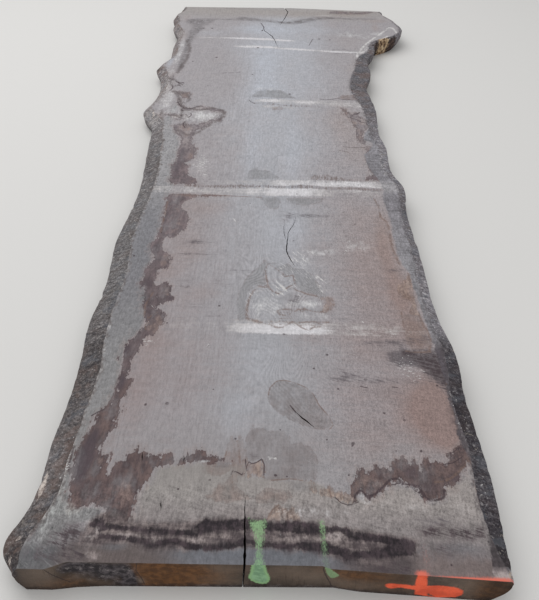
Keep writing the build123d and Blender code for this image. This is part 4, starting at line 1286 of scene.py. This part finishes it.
def sawn_face():
    s = Shader("weathered_sawn_face")
    x = s.axis("X")
    y = s.axis("Y")
    grain_place = s.wandering()
    grain = s.noise(grain_place, (190, 5, 40), 4, 0.62)
    fine = s.noise(grain_place, (620, 40, 200), 2, 0.6)
    fibres = s.noise(grain_place, (240, 34, 1), 3, 0.65)
    teeth = s.noise(s.place, (100, 13, 1), 3, 0.6)
    hairs = s.noise(s.place, (300, 26, 1), 2, 0.6)
    small = s.noise(s.place, (230, 120, 1), 3, 0.65)
    clouds = s.noise(s.place, (5, 2.4, 1), 3, 0.55)
    patchy = s.noise(s.place, (15, 10, 1), 4, 0.6)
    mottled = s.noise(s.place, (38, 24, 1), 4, 0.62)
    blots = s.noise(s.place, (80, 60, 1), 3, 0.6)
    tufts = s.noise(s.place, (150, 70, 1), 3, 0.7)
    shreds = s.noise(s.place, (66, 26, 1), 3, 0.65)
    speckle = s.noise(s.place, (420, 300, 300), 2, 0.7)
    saw = s.noise(s.place, (5, 95, 1), 3, 0.65)
    across = s.noise(s.place, (16, 150, 1), 3, 0.62)
    wisps = s.noise(s.place, (12, 120, 1), 4, 0.65)
    ticked = s.noise(s.place, (190, 24, 1), 3, 0.7)

    # ground colour: pinker sides and a cool grey heart, brighter and bluer as partly painted sheen of the
    # sky, paler towards the far end
    far = s.step(y, -1.3, 0.6)
    heart = s.mix(far, rgb(153, 152, 156), rgb(167, 168, 174))
    side = s.mix(far, rgb(147, 140, 142), rgb(155, 151, 154))
    off = s.math("ABSOLUTE", s.math("SUBTRACT", s.add(x, (clouds, 0.25), (grain, 0.12)), -0.01))
    s.colour = s.mix(s.step(off, 0.02, 0.27), heart, side)
    s.coat(rgb(146, 142, 144), s.step(y, -1.1, -1.25), 0.8)
    tan = s.mix(far, rgb(138, 119, 115), rgb(154, 142, 139))
    tan_share = s.add(s.attribute("tan"), (clouds, 0.2), (wisps, 0.5), (patchy, 0.5))
    s.coat(tan, tan_share)
    # painted sheen of the sky, laid on as bluish, brighter patches
    s.coat(rgb(172, 175, 183), s.attribute("blue"), s.add(0.85, (mottled, 1.2)))
    s.coat(rgb(152, 147, 144), s.step(s.add(y, (clouds, 0.12)), 1.3, 1.46), 0.7)

    def edge(name, tooth, low, high, detail=0.004, hair=0.0, bay=0.0):
        """A mask for a noise-broken outline, crisp in some places and soft in others, and its depth."""
        depth = s.add(
            s.attribute(name), (teeth, tooth), (small, detail), (hairs, hair), (blots, 0.012 + 0.6 * bay),
            (mottled, bay)
        )
        blur = s.step(patchy, -0.1, 0.12, 1.5, 0.45)
        return s.step(s.both(depth, blur), low, high), depth

    def mask(name, *numbers):
        """The same without the depth."""
        return edge(name, *numbers)[0]

    def thin_rim(depth, width):
        """The thin, broken, darker line just inside an outline."""
        return s.both(s.step(depth, -0.002, 0.0), s.step(depth, 0.0, width, 1.0, 0.0), rim_gaps)

    # sapwood on the left, and the warmer ground below the near stains
    sap = mask("sap", 0.008, -0.005, 0.006)
    sap_colour = s.ramp(s.share(y, -HALF_LENGTH, HALF_LENGTH), SAP_STOPS)
    s.coat(sap_colour, sap, 0.85)
    cut = s.attribute("cut")
    below = mask("below", 0.012, -0.005, 0.01, 0.008)
    ground = s.mix(s.step(s.add(x, (clouds, 0.2)), -0.25, 0.25), rgb(141, 136, 133), rgb(147, 140, 137))
    ground = s.mix(s.step(s.add(cut, (patchy, 0.05)), 0.16, 0.085), ground, rgb(134, 127, 126))
    ground = s.mix(s.step(s.add(cut, (teeth, 0.03)), 0.085, 0.045), ground, rgb(114, 107, 108))
    s.coat(ground, below, 0.9)
    foot_colour = s.mix(s.step(x, -0.2, -0.1), rgb(94, 84, 82), rgb(105, 106, 112))
    for start, end, beyond in FOOT_CHANGES:
        foot_colour = s.mix(s.step(x, start, end), foot_colour, rgb(*beyond))
    foot = s.step(s.add(cut, (teeth, 0.02), (mottled, 0.05)), 0.055, 0.022)
    s.coat(foot_colour, foot, 0.85)

    # faint stains and grey blotches with a thin darker rim
    blotch, depth = edge("blotch", 0.01, -0.002, 0.005, 0.006)
    blotch_colour = s.mix(s.step(y, -1.15, -0.9), rgb(120, 113, 113), rgb(128, 127, 129))
    body = s.step(s.add((mottled, 1.0), (patchy, 0.8), (shreds, 0.5)), -0.3, 0.22, 0.25, 0.95)
    s.coat(blotch_colour, blotch, body, 0.85)
    rim_gaps = s.step(s.add(blots, (patchy, 0.8)), -0.1, 0.1)
    s.coat(rgb(112, 100, 98), thin_rim(depth, 0.006), 0.4)
    faint, depth = edge("faint", 0.01, -0.002, 0.005, 0.006)
    s.coat(rgb(123, 108, 103), faint, body, 0.72)
    s.coat(rgb(108, 94, 91), thin_rim(depth, 0.005), 0.34)
    rust, depth = edge("rust", 0.024, -0.002, 0.004, 0.01, 0.014)
    rust_colour = s.mix(
        s.step(s.add(mottled, (tufts, 0.8)), -0.12, 0.14), rgb(118, 98, 89), rgb(154, 134, 122)
    )
    s.coat(rust_colour, rust, s.step(s.add(patchy, (ticked, 0.5)), -0.2, 0.1, 0.25, 0.75))
    s.coat(rgb(98, 80, 74), thin_rim(depth, 0.004), 0.4)

    # cold grey near the cut, then dark weathering in streaks
    s.coat(rgb(101, 103, 109), s.attribute("cold"), s.add(0.7, (mottled, 1.0)))
    shade = s.attribute("shade")
    swept = s.noise(s.turn(s.place, 16), (22, 170, 1), 4, 0.68)
    rough = s.mix(s.step(x, -0.31, -0.28), teeth, s.mix(s.step(x, -0.05, 0.05), wisps, swept))
    broken = s.add(shade, (rough, 2.2), (mottled, 1.3), (grain, 0.5), (tufts, 0.7))
    broken = s.both(s.step(broken, 0.1, 0.85), s.step(shade, 0.02, 0.25))
    s.coat(rgb(82, 76, 80), broken, 0.8)
    smoke = mask("smoke", 0.016, -0.01, 0.012, 0.01, 0.006)
    smoke_colour = s.mix(s.step(y, -1.2, 0.6), rgb(88, 79, 81), rgb(112, 108, 110))
    smoky = s.step(s.add((swept, 1.4), (mottled, 0.8), (tufts, 0.7)), -0.24, 0.18, 0.12, 0.95)
    s.coat(smoke_colour, smoke, smoky)
    sooty = s.both(
        smoke, s.step(s.add(swept, (mottled, 0.5), (tufts, 0.4)), -0.06, 0.09), s.step(y, -0.6, -0.8)
    )
    s.coat(rgb(60, 50, 54), sooty, 0.8)
    slanted = s.noise(s.turn(s.place, 38), (26, 210, 1), 3, 0.65)
    corner = s.both(s.step(x, -0.31, -0.34), s.step(y, -1.41, -1.44))
    s.coat(rgb(86, 82, 86), corner, s.step(slanted, -0.04, 0.16), 0.3)
    s.coat(rgb(152, 151, 153), corner, s.step(slanted, -0.06, -0.18), 0.25)

    # brown tide marks with a serrated edge and a darker rim
    tide, depth = edge("tide", 0.024, -0.001, 0.002, 0.014, 0.012, 0.03)
    thin_out = s.step(s.add((patchy, 1.2), (mottled, 0.8), (shreds, 0.6)), -0.4, 0.1, 0.45, 0.95)
    halo = s.both(s.step(s.add(depth, (mottled, 0.03)), -0.014, 0.0), s.step(depth, 0.0, 0.002, 1.0, 0.0))
    s.coat(rgb(132, 114, 108), halo, 0.22)
    tone = s.step(s.add(mottled, (teeth, 0.7), (blots, 0.4), (patchy, 0.5)), -0.2, 0.22)
    brown = s.mix(tone, rgb(66, 52, 54), rgb(104, 86, 83))
    for start, end, low, high in TIDE_BROWNS:
        brown = s.mix(s.step(y, start, end), brown, s.mix(tone, rgb(*low), rgb(*high)))
    dim = s.step(s.add(shade, (mottled, 0.9), (teeth, 0.6)), 0.1, 0.7)
    brown = s.mix(s.both(dim, 0.85), brown, s.mix(s.step(y, -0.3, 0.2), rgb(72, 62, 68), rgb(98, 90, 97)))
    lift = s.attribute("lift")
    lift = s.both(s.step(lift, 0.0, 0.3), s.step(s.add(lift, (mottled, 1.3), (tufts, 0.8)), 0.15, 0.75))
    brown = s.mix(s.both(lift, 0.75), brown, rgb(132, 114, 108))
    s.coat(brown, tide, thin_out)
    rim = s.both(tide, s.step(depth, 0.0008, 0.006, 1.0, 0.0), s.step(patchy, -0.15, 0.08, 0.35, 1.0))
    s.coat(s.mix(s.step(y, -0.1, 0.2), rgb(70, 57, 60), rgb(88, 78, 80)), rim, 0.62)
    rim = s.both(
        tide, s.step(depth, 0.002, 0.014, 1.0, 0.0), s.step(y, 0.0, 0.2),
        s.step(tufts, -0.12, 0.08, 0.3, 1.0)
    )
    s.coat(rgb(88, 79, 82), rim, 0.7)
    ridge = s.both(
        tide, s.step(s.math("ABSOLUTE", s.add(depth, (tufts, 0.02), -0.016)), 0.004, 0.0), rim_gaps
    )
    s.coat(rgb(72, 60, 63), ridge, 0.32)

    # broad dark band near the cut, the pale sticker marks, the painted highlight along the burl's lip, and
    # the dark lines
    band = mask("band", 0.014, -0.01, 0.006, 0.006, 0.01)
    band_tone = s.step(s.add(mottled, (across, 0.6), (tufts, 0.5)), -0.16, 0.18)
    band_colour = s.mix(band_tone, rgb(74, 64, 66), rgb(120, 109, 107))
    s.coat(band_colour, band, 0.85)
    pale = s.attribute("pale")
    mark = mask("mark", 0.01, -0.002, 0.0035, 0.012, 0.006)
    streaky = s.add((pale, 0.75), (mottled, 0.8), (wisps, 1.1), (patchy, 0.5), (tufts, 0.5))
    shown = s.both(mark, s.step(streaky, 0.02, 0.62), s.step(pale, 0.02, 0.2))
    pale_colour = s.mix(
        s.step(s.add(pale, (patchy, 0.6)), 0.2, 0.95), rgb(172, 168, 167), rgb(202, 200, 203)
    )
    s.coat(pale_colour, s.math("MULTIPLY", shown, 0.94, clamp=True))
    glow = s.attribute("glow")
    lit = s.both(
        s.step(glow, 0.02, 0.2), s.step(s.add((glow, 0.8), (mottled, 1.1), (tufts, 0.8)), 0.0, 0.75)
    )
    glow_colour = s.mix(s.step(cut, 0.13, 0.05), rgb(190, 189, 190), rgb(160, 149, 147))
    glow_colour = s.mix(
        s.both(s.step(x, -0.3, -0.34), s.step(y, -1.3, -1.37)), glow_colour, rgb(160, 162, 160)
    )
    s.coat(glow_colour, lit)
    dark = mask("dark", 0.008, -0.0048, 0.0016, 0.006, 0.008)
    dark_tone = s.step(s.add(mottled, (blots, 0.6), (tufts, 0.4)), -0.1, 0.16)
    dark_colour = s.mix(
        s.step(y, -1.2, -0.9), s.mix(dark_tone, rgb(34, 28, 33), rgb(60, 50, 55)), rgb(96, 88, 92)
    )
    s.coat(dark_colour, dark, s.step(s.add(patchy, (blots, 0.6)), -0.24, -0.04, 0.45, 0.93))
    ticks = mask("ticks", 0.03, -0.003, 0.005, 0.01, 0.02)
    ticks = s.both(ticks, s.step(s.add(ticked, (small, 0.5), (patchy, 0.3)), -0.1, 0.06, 0.15, 1.0))
    s.coat(rgb(108, 94, 90), ticks, 0.75)
    gaps = s.step(s.add(mottled, (small, 0.7), (patchy, 0.4)), -0.15, 0.02)
    # painted highlight: the whitish glint along the burl's lip
    thin = s.line("glint_and_pale_lines", s.add((small, 0.003), (blots, 0.002)), 0.0003, 0.0022)
    s.coat(rgb(200, 198, 197), thin, gaps, 0.9)
    thin = s.line("warm_lines", s.add((small, 0.004), (blots, 0.003)), 0.0003, 0.003)
    s.coat(s.mix(s.step(y, -0.1, 0.1), rgb(112, 92, 83), rgb(92, 84, 84)), thin, gaps, 0.66)
    thin = s.line("dark_lines", s.both(small, 0.002), 0.0007, 0.002)
    gaps = s.math("ADD", gaps, 0.45, clamp=True)
    s.coat(rgb(64, 52, 56), thin, gaps, 0.85)

    # natural surface beside the sawn face, partly darkened near the near end as painted shade, and the
    # chipped strip along both arrises
    rind = mask("rind", 0.01, -0.002, 0.003, 0.008, 0.004)
    rind_tone = s.ramp(s.share(y, -HALF_LENGTH, HALF_LENGTH), RIND_STOPS)
    rind_marks = s.add(1.0, (mottled, 1.0), (tufts, 0.9), (wisps, 0.8), (patchy, 0.6))
    s.coat(s.times(rind_tone, rind_marks), rind, 0.9)
    inset = s.attribute("inset")
    chipped = s.add(inset, (blots, 0.03), (small, 0.014), (shreds, 0.02))
    strip = s.step(chipped, 0.009, -0.001)
    strip_tone = s.step(s.add(blots, (tufts, 0.6)), -0.08, 0.14)
    strip_left = s.mix(strip_tone, rgb(98, 88, 85), rgb(160, 155, 152))
    strip_right = s.mix(strip_tone, rgb(78, 72, 75), rgb(122, 117, 119))
    strip_colour = s.mix(s.step(x, 0.05, -0.05), strip_right, strip_left)
    s.coat(strip_colour, strip, s.step(y, -1.47, -1.45, 0.1, 1.0), 0.55)

    # grain, speckle and saw marks, coarser and stronger further along
    rise = s.both(s.step(y, -1.2, 0.1), s.step(y, 1.2, 0.0, 0.3, 1.0))
    right = s.both(s.step(x, 0.02, 0.22), s.step(y, 1.1, 0.2, 0.25, 1.0))
    fibre_tone = s.add((grain, 0.24), (fine, 0.18), (fibres, 0.34), (speckle, 0.34))
    fibre_tone = s.add(fibre_tone, (across, 0.12), (wisps, 0.1), (small, 0.16))
    crumbly = s.add((tufts, 0.45), (mottled, 0.24), (blots, 0.16), (shreds, 0.1))
    coarser = s.both(rise, s.add((shreds, 0.3), (tufts, 0.2), (fibres, 0.15), (patchy, 0.2)))
    ribbed = s.both(
        right, s.step(cut, 0.12, 0.19, 0.2, 1.0),
        s.add((across, 0.16), (wisps, 0.24), (swept, 0.4), (small, 0.55), (speckle, 0.6))
    )
    trodden = s.both(
        s.step(cut, 0.19, 0.14), s.step(cut, 0.03, 0.07, 0.3, 1.0),
        s.add((speckle, 0.45), (small, 0.5), (tufts, 0.6), (mottled, 0.5), (shreds, 0.5), (swept, 0.8))
    )
    contour = s.math("FRACT", s.both(s.noise(s.place, (7, 4, 1), 1, 0.4), 42.0))
    contour = s.step(s.math("ABSOLUTE", s.add(contour, -0.5)), 0.12, 0.36)
    contour = s.both(s.attribute("curl"), s.add(contour, -0.4), s.add(1.0, (patchy, 3.0)))
    sappy = s.both(sap, s.add((small, 0.5), (tufts, 0.5), (blots, 0.3)))
    tone = s.add(1.0, fibre_tone, crumbly, coarser, ribbed, trodden, sappy, (saw, 0.07), (contour, 0.15))
    s.colour = s.times(s.colour, tone)
    specks = s.step(s.noise(s.place, (170, 90, 1), 2, 0.6), -0.24, -0.29)
    s.coat(rgb(96, 88, 88), specks, s.step(patchy, -0.1, 0.1), 0.35)

    # pale chips and crumbs
    curled = s.noise(s.turn(s.place, -35), (170, 34, 1), 3, 0.7)
    loose = s.noise(s.place, (90, 190, 1), 3, 0.75)
    heart_zone = s.both(s.step(y, -0.92, -0.82), s.step(y, -0.3, -0.4))
    loose = s.mix(heart_zone, loose, curled)
    fleck = s.attribute("fleck")
    crumbs = s.both(s.step(s.add(loose, (fleck, 0.12)), 0.15, 0.22), s.step(fleck, 0.1, 0.35))
    s.coat(rgb(202, 200, 199), crumbs, 0.85)
    stray = s.step(s.noise(s.place, (90, 60, 1), 3, 0.7), 0.2, 0.25)
    s.coat(rgb(182, 180, 181), stray, 0.25)

    # sprayed paint
    spray = s.noise(s.place, (330, 170, 330), 3, 0.7)
    green = s.step(s.add(s.attribute("green_top"), (spray, 0.02)), -0.004, 0.006)
    green = s.both(green, s.add(0.62, (mottled, 1.4), (spray, 1.6), s.step(y, -1.44, -1.41, 0.0, 0.2)))
    thinner = s.both(s.step(x, 0.06, 0.1), s.step(y, -1.475, -1.45, 0.3, 0.95))
    green = s.both(green, s.add(s.step(x, 0.06, 0.1, 1.0, 0.0), thinner))
    s.coat(s.mix(s.step(y, -1.5, -1.42), rgb(130, 168, 127), rgb(134, 166, 124)), green)
    haze = s.attribute("haze")
    dust = s.both(haze, s.step(s.add((haze, 0.8), (spray, 1.3)), 0.05, 0.7))
    s.coat(rgb(214, 110, 92), dust)

    height = s.add((grain, 0.5), (fine, 0.3), (speckle, 0.25), (saw, 0.5), (across, 0.3), (tufts, 0.4))
    roughness = s.add(0.78, (mottled, 0.12), (tide, -0.05))
    return s.finish(roughness, s.bump(height, 0.0014, 0.7))


def bark_side():
    s = Shader("weathered_bark_side")
    z = s.axis("Z")
    x = s.axis("X")
    y = s.axis("Y")
    left = s.step(x, 0.05, -0.05)
    streaks = s.noise(s.place, (110, 14, 110), 4, 0.62)
    lumps = s.noise(s.place, (34, 30, 34), 4, 0.62)
    chunks = s.noise(s.place, (70, 90, 70), 3, 0.68)
    ripples = s.noise(s.place, (30, 130, 40), 3, 0.65)
    broad = s.noise(s.place, (9, 7, 9), 3, 0.6)
    hue = s.noise(s.place, (16, 22, 16), 3, 0.6)
    fine = s.noise(s.place, (420, 260, 420), 2, 0.65)
    crumb = s.noise(s.place, (150, 140, 150), 3, 0.7)
    splints = s.noise(s.turn(s.place, 30), (60, 210, 60), 3, 0.7)
    inset = s.attribute("inset")
    tone = s.add(
        s.attribute("tone"), (lumps, 0.28), (streaks, 0.12), (crumb, 1.0), (chunks, 0.5), (ripples, 0.75),
        (broad, 0.35), (splints, 0.9), (fine, 0.8)
    )
    # painted shade: the lower part of each bark side, below the wane, is made darker
    low = s.step(z, 0.046, 0.012)
    tone = s.math("SUBTRACT", tone, s.both(low, 0.3))
    s.colour = s.ramp(tone, BARK_STOPS)
    cast_left = s.ramp(s.share(y, -HALF_LENGTH, HALF_LENGTH), CAST_STOPS)
    s.colour = s.stretch(s.colour, s.mix(left, CAST_RIGHT, cast_left))
    warm = s.step(s.add(hue, (lumps, 0.5)), 0.0, 0.13)
    near = s.step(y, -0.9, -1.15)
    distant = s.step(y, 0.2, 0.6, 0.0, 0.3)
    s.coat(rgb(114, 94, 86), warm, s.add(0.08, (left, 0.04), s.both(left, near, 0.26), distant))
    cool = s.step(s.add(hue, (chunks, 0.4)), -0.04, -0.16)
    s.coat(rgb(108, 112, 120), cool, 0.3)
    bark = s.both(s.step(s.add(lumps, (crumb, 0.8)), 0.1, 0.19), s.step(z, 0.066, 0.03))
    s.coat(rgb(58, 46, 42), bark, 0.6)
    raw = s.step(s.add(lumps, (crumb, 0.9)), -0.15, -0.24)
    s.coat(rgb(162, 154, 147), raw, 0.5)
    flaky = s.add(crumb, (chunks, 0.6), (lumps, 0.3), s.step(inset, -0.03, 0.0, 0.0, 0.06))
    s.coat(rgb(172, 168, 164), s.step(flaky, 0.16, 0.27), 0.4)
    bark = s.attribute("bark")
    bark = s.both(s.step(bark, 0.15, 0.5), s.step(s.add(z, (chunks, 0.03)), 0.077, 0.066))
    s.coat(s.mix(s.step(chunks, -0.14, 0.16), rgb(30, 22, 20), rgb(84, 62, 52)), bark, 0.9)
    rust = s.both(s.step(s.add(hue, (crumb, 0.6)), 0.02, 0.14), s.step(inset, -0.02, -0.004), left)
    s.coat(rgb(104, 82, 74), rust, s.add(0.12, (near, 0.4)))
    rim = s.both(s.step(s.add(inset, (lumps, 0.02)), -0.016, -0.003), s.step(y, 0.3, -0.2), left)
    s.coat(rgb(78, 73, 72), rim, s.step(s.add(chunks, hue), -0.08, 0.06), 0.45)
    bare = s.attribute("bare")
    torn = s.noise(s.place, (150, 150, 26), 3, 0.7)
    bare = s.both(s.step(bare, 0.05, 0.3), s.step(s.add(bare, (chunks, 1.4), (torn, 0.8)), 0.25, 0.75))
    bare_tone = s.add((torn, 2.6), (chunks, 1.2), 0.5)
    bare_right = s.ramp(bare_tone, BARE_STOPS)
    bare_left = s.mix(bare_tone, rgb(128, 112, 106), rgb(226, 216, 208))
    bare_colour = s.mix(left, bare_right, bare_left)
    s.coat(bare_colour, bare, 0.92)
    fleck = s.attribute("fleck")
    fleck = s.both(s.step(s.add(crumb, (chunks, 0.5), (fleck, 0.05)), 0.19, 0.27), s.step(fleck, 0.1, 0.35))
    s.coat(rgb(196, 195, 196), fleck, 0.7)
    haze = s.attribute("haze")
    dust = s.both(haze, s.step(s.add(haze, (crumb, 1.1)), 0.05, 0.8))
    s.coat(rgb(214, 108, 90), dust)
    s.colour = s.times(s.colour, s.add(1.0, (streaks, 0.12), (fine, 0.4), (crumb, 0.4), (chunks, 0.3)))
    height = s.add((streaks, 0.3), (fine, 0.35), (crumb, 0.9), (lumps, 0.8), (chunks, 0.9))
    return s.finish(s.add(0.84, (crumb, 0.15)), s.bump(height, 0.004, 0.85))


def sawn_end():
    s = Shader("sawn_end_grain")
    z = s.axis("Z")
    x = s.axis("X")
    streaks = s.noise(s.place, (190, 40, 13), 4, 0.62)
    rings = s.noise(s.place, (26, 30, 170), 3, 0.6, 0.4)
    mottled = s.noise(s.place, (26, 20, 30), 4, 0.62)
    smears = s.noise(s.place, (44, 30, 95), 4, 0.7)
    blots = s.noise(s.place, (70, 60, 90), 3, 0.62)
    fine = s.noise(s.place, (500, 300, 500), 2, 0.7)
    marks = s.noise(s.place, (60, 10, 380), 2, 0.6)
    s.colour = s.mix(s.step(mottled, -0.16, 0.16), rgb(62, 53, 47), rgb(84, 73, 65))
    s.coat(rgb(76, 66, 61), s.step(x, -0.36, -0.4), 0.7)
    s.coat(
        s.mix(s.step(blots, -0.14, 0.16), rgb(84, 56, 34), rgb(106, 72, 43)),
        s.add(s.attribute("warm"), (mottled, 0.4))
    )
    s.coat(rgb(110, 96, 85), s.add((s.attribute("light"), 0.8), (mottled, 0.3)))
    dark_streak = s.step(streaks, 0.07, 0.18)
    s.coat(
        rgb(44, 33, 28),
        s.math("MULTIPLY", dark_streak, s.add(0.5, (s.attribute("warm"), -0.36)), clamp=True)
    )
    mould = s.attribute("mould")
    dirt = s.both(mould, s.step(s.add(mould, (mottled, 1.6), (blots, 0.8), (smears, 1.2)), 0.1, 0.6))
    s.coat(
        s.mix(s.step(blots, -0.1, 0.12), rgb(44, 40, 43), rgb(82, 76, 79)),
        s.math("MULTIPLY", dirt, 0.9, clamp=True)
    )
    bloom = s.both(mould, s.step(s.add(smears, (fine, 0.8), (blots, 0.6)), 0.08, 0.24))
    s.coat(rgb(134, 128, 126), s.math("MULTIPLY", bloom, 0.6, clamp=True))
    crack = s.line("end_lines", s.both(blots, 0.0016), 0.0006, 0.0017)
    s.coat(rgb(46, 38, 38), crack, 0.7)
    # partly painted light: the right part of the end is made brighter where it turns away from the lamps
    level = s.add(*[s.step(x, *change) for change in END_LEVELS])
    tone = s.add(level, (streaks, 0.35), (fine, 0.2), (blots, 0.28), (rings, 0.15), (marks, 0.08))
    s.colour = s.times(s.colour, tone)
    s.coat(rgb(44, 37, 35), s.step(s.add(z, (blots, 0.02)), 0.014, 0.0), 0.6)
    s.coat(rgb(128, 120, 116), s.step(s.add(z, (blots, 0.012)), 0.0725, 0.0755), 0.35)
    spray = s.noise(s.place, (280, 200, 280), 3, 0.7)
    wet = s.add(s.attribute("green_end"), (spray, 0.008))
    green_rim = rgb(142, 182, 131)
    green_body = s.mix(s.step(blots, -0.1, 0.1), rgb(118, 155, 121), rgb(142, 182, 142))
    colour_green = s.mix(s.step(wet, 0.002, 0.008), green_rim, green_body)
    colour_green = s.mix(s.step(x, 0.06, 0.1), colour_green, rgb(130, 158, 118))
    s.coat(colour_green, s.step(wet, -0.002, 0.0015), 0.9)
    orange = s.step(s.add(s.attribute("orange_end"), (spray, 0.007)), -0.002, 0.002)
    orange_colour = s.mix(s.step(mottled, -0.14, 0.1), rgb(214, 84, 54), rgb(244, 102, 66))
    s.coat(orange_colour, orange, 0.95)
    height = s.add((streaks, 0.8), (fine, 0.5), (marks, 0.7), (rings, 0.3), (blots, 0.6))
    roughness = s.add(0.8, (orange, -0.2), (fine, 0.1))
    return s.finish(roughness, s.bump(height, 0.0018, 0.8))


def sawn_underside():
    s = Shader("sawn_underside")
    grain_place = s.wandering()
    grain = s.noise(grain_place, (240, 5, 40), 4, 0.6)
    fine = s.noise(grain_place, (800, 20, 200), 2, 0.6)
    clouds = s.noise(s.place, (4, 2, 1), 3, 0.55)
    mottled = s.noise(s.place, (30, 12, 1), 4, 0.6)
    saw = s.noise(s.place, (2.2, 200, 1), 3, 0.65)
    s.colour = s.mix(s.step(clouds, -0.15, 0.15), rgb(126, 112, 102), rgb(146, 132, 120))
    s.coat(rgb(104, 92, 86), s.step(mottled, 0.02, 0.16), 0.5)
    s.colour = s.times(s.colour, s.add(1.0, (grain, 0.24), (fine, 0.14), (saw, 0.12)))
    height = s.add((grain, 0.6), (fine, 0.3), (saw, 0.6))
    return s.finish(s.add(0.78, (mottled, 0.12)), s.bump(height, 0.0014, 0.8))


def check_inside():
    s = Shader("inside_of_checks")
    fibres = s.noise(s.place, (260, 30, 420), 3, 0.6)
    s.colour = s.mix(s.step(fibres, -0.15, 0.15), rgb(34, 27, 26), rgb(66, 54, 50))
    return s.finish(s.add(0.85, (fibres, 0.2)), s.bump(fibres, 0.0015, 0.8))


# The slab's materials in the order of its slots, then its checks cut open

SHARP_ANGLE = 42

for made in (sawn_face(), bark_side(), sawn_end(), sawn_underside(), check_inside()):
    slab.data.materials.append(made)

for name, (path, depth) in CHECKS.items():
    cutter = new_object("cutter_" + name, check_cutter(name, path, depth))
    for material in slab.data.materials:
        cutter.data.materials.append(material)
    for polygon in cutter.data.polygons:
        polygon.material_index = INSIDE
    cut = slab.modifiers.new("cut", "BOOLEAN")
    cut.operation = "DIFFERENCE"
    cut.object = cutter
    cut.solver = "EXACT"
    cut.material_mode = "INDEX"
    graph = bpy.context.evaluated_depsgraph_get()
    opened = bpy.data.meshes.new_from_object(slab.evaluated_get(graph))
    slab.modifiers.clear()
    old = slab.data
    slab.data = opened
    bpy.data.meshes.remove(old)
    bpy.data.objects.remove(cutter)

slab.data.name = "slab_timber"
for polygon in slab.data.polygons:
    polygon.use_smooth = True
slab.data.set_sharp_from_angle(angle=math.radians(SHARP_ANGLE))
paint_attributes(slab.data)

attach(slab, "root")
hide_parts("slab")

# Plain pale floor and soft studio light

FLOOR_HALF = 30.0
FLOOR_GREY = (214, 213, 211)
FLOOR_ROUGHNESS = 0.9
FLOOR_SHINE = 0.1
SKY_STRENGTH = 0.60
# Soft lamps: name, place, target, size in metres and power in watts
LAMPS = [
    ("overhead", (-1.6, 1.2, 4.2), (0, 0, 0), (4.0, 5.0), 118),
    ("front", (1.0, -4.6, 2.0), (0, -0.8, 0), (3.0, 2.0), 30),
]

floor_corners = [(a * FLOOR_HALF, b * FLOOR_HALF, 0) for a, b in ((-1, -1), (1, -1), (1, 1), (-1, 1))]
floor_mesh = new_mesh("floor", floor_corners, [[0, 1, 2, 3]])
floor = new_object("floor", floor_mesh)
floor_material = bpy.data.materials.new("floor")
floor_material.use_nodes = True
floor_shader = floor_material.node_tree.nodes["Principled BSDF"]
floor_shader.inputs["Base Color"].default_value = rgb(*FLOOR_GREY)
floor_shader.inputs["Roughness"].default_value = FLOOR_ROUGHNESS
floor_shader.inputs["Specular IOR Level"].default_value = FLOOR_SHINE
floor_mesh.materials.append(floor_material)

world = bpy.data.worlds.new("studio")
bpy.context.scene.world = world
world.use_nodes = True
sky = world.node_tree.nodes["Background"]
sky.inputs["Color"].default_value = (1.0, 1.0, 1.0, 1.0)
sky.inputs["Strength"].default_value = SKY_STRENGTH

for name, place, target, size, power in LAMPS:
    light = bpy.data.lights.new(name, "AREA")
    light.shape = "RECTANGLE"
    light.size = size[0]
    light.size_y = size[1]
    light.energy = power
    lamp = new_object(name, light)
    lamp.location = place
    lamp.rotation_mode = "QUATERNION"
    lamp.rotation_quaternion = (Vector(place) - Vector(target)).to_track_quat("Z", "Y")

bpy.context.scene.view_settings.view_transform = "Standard"
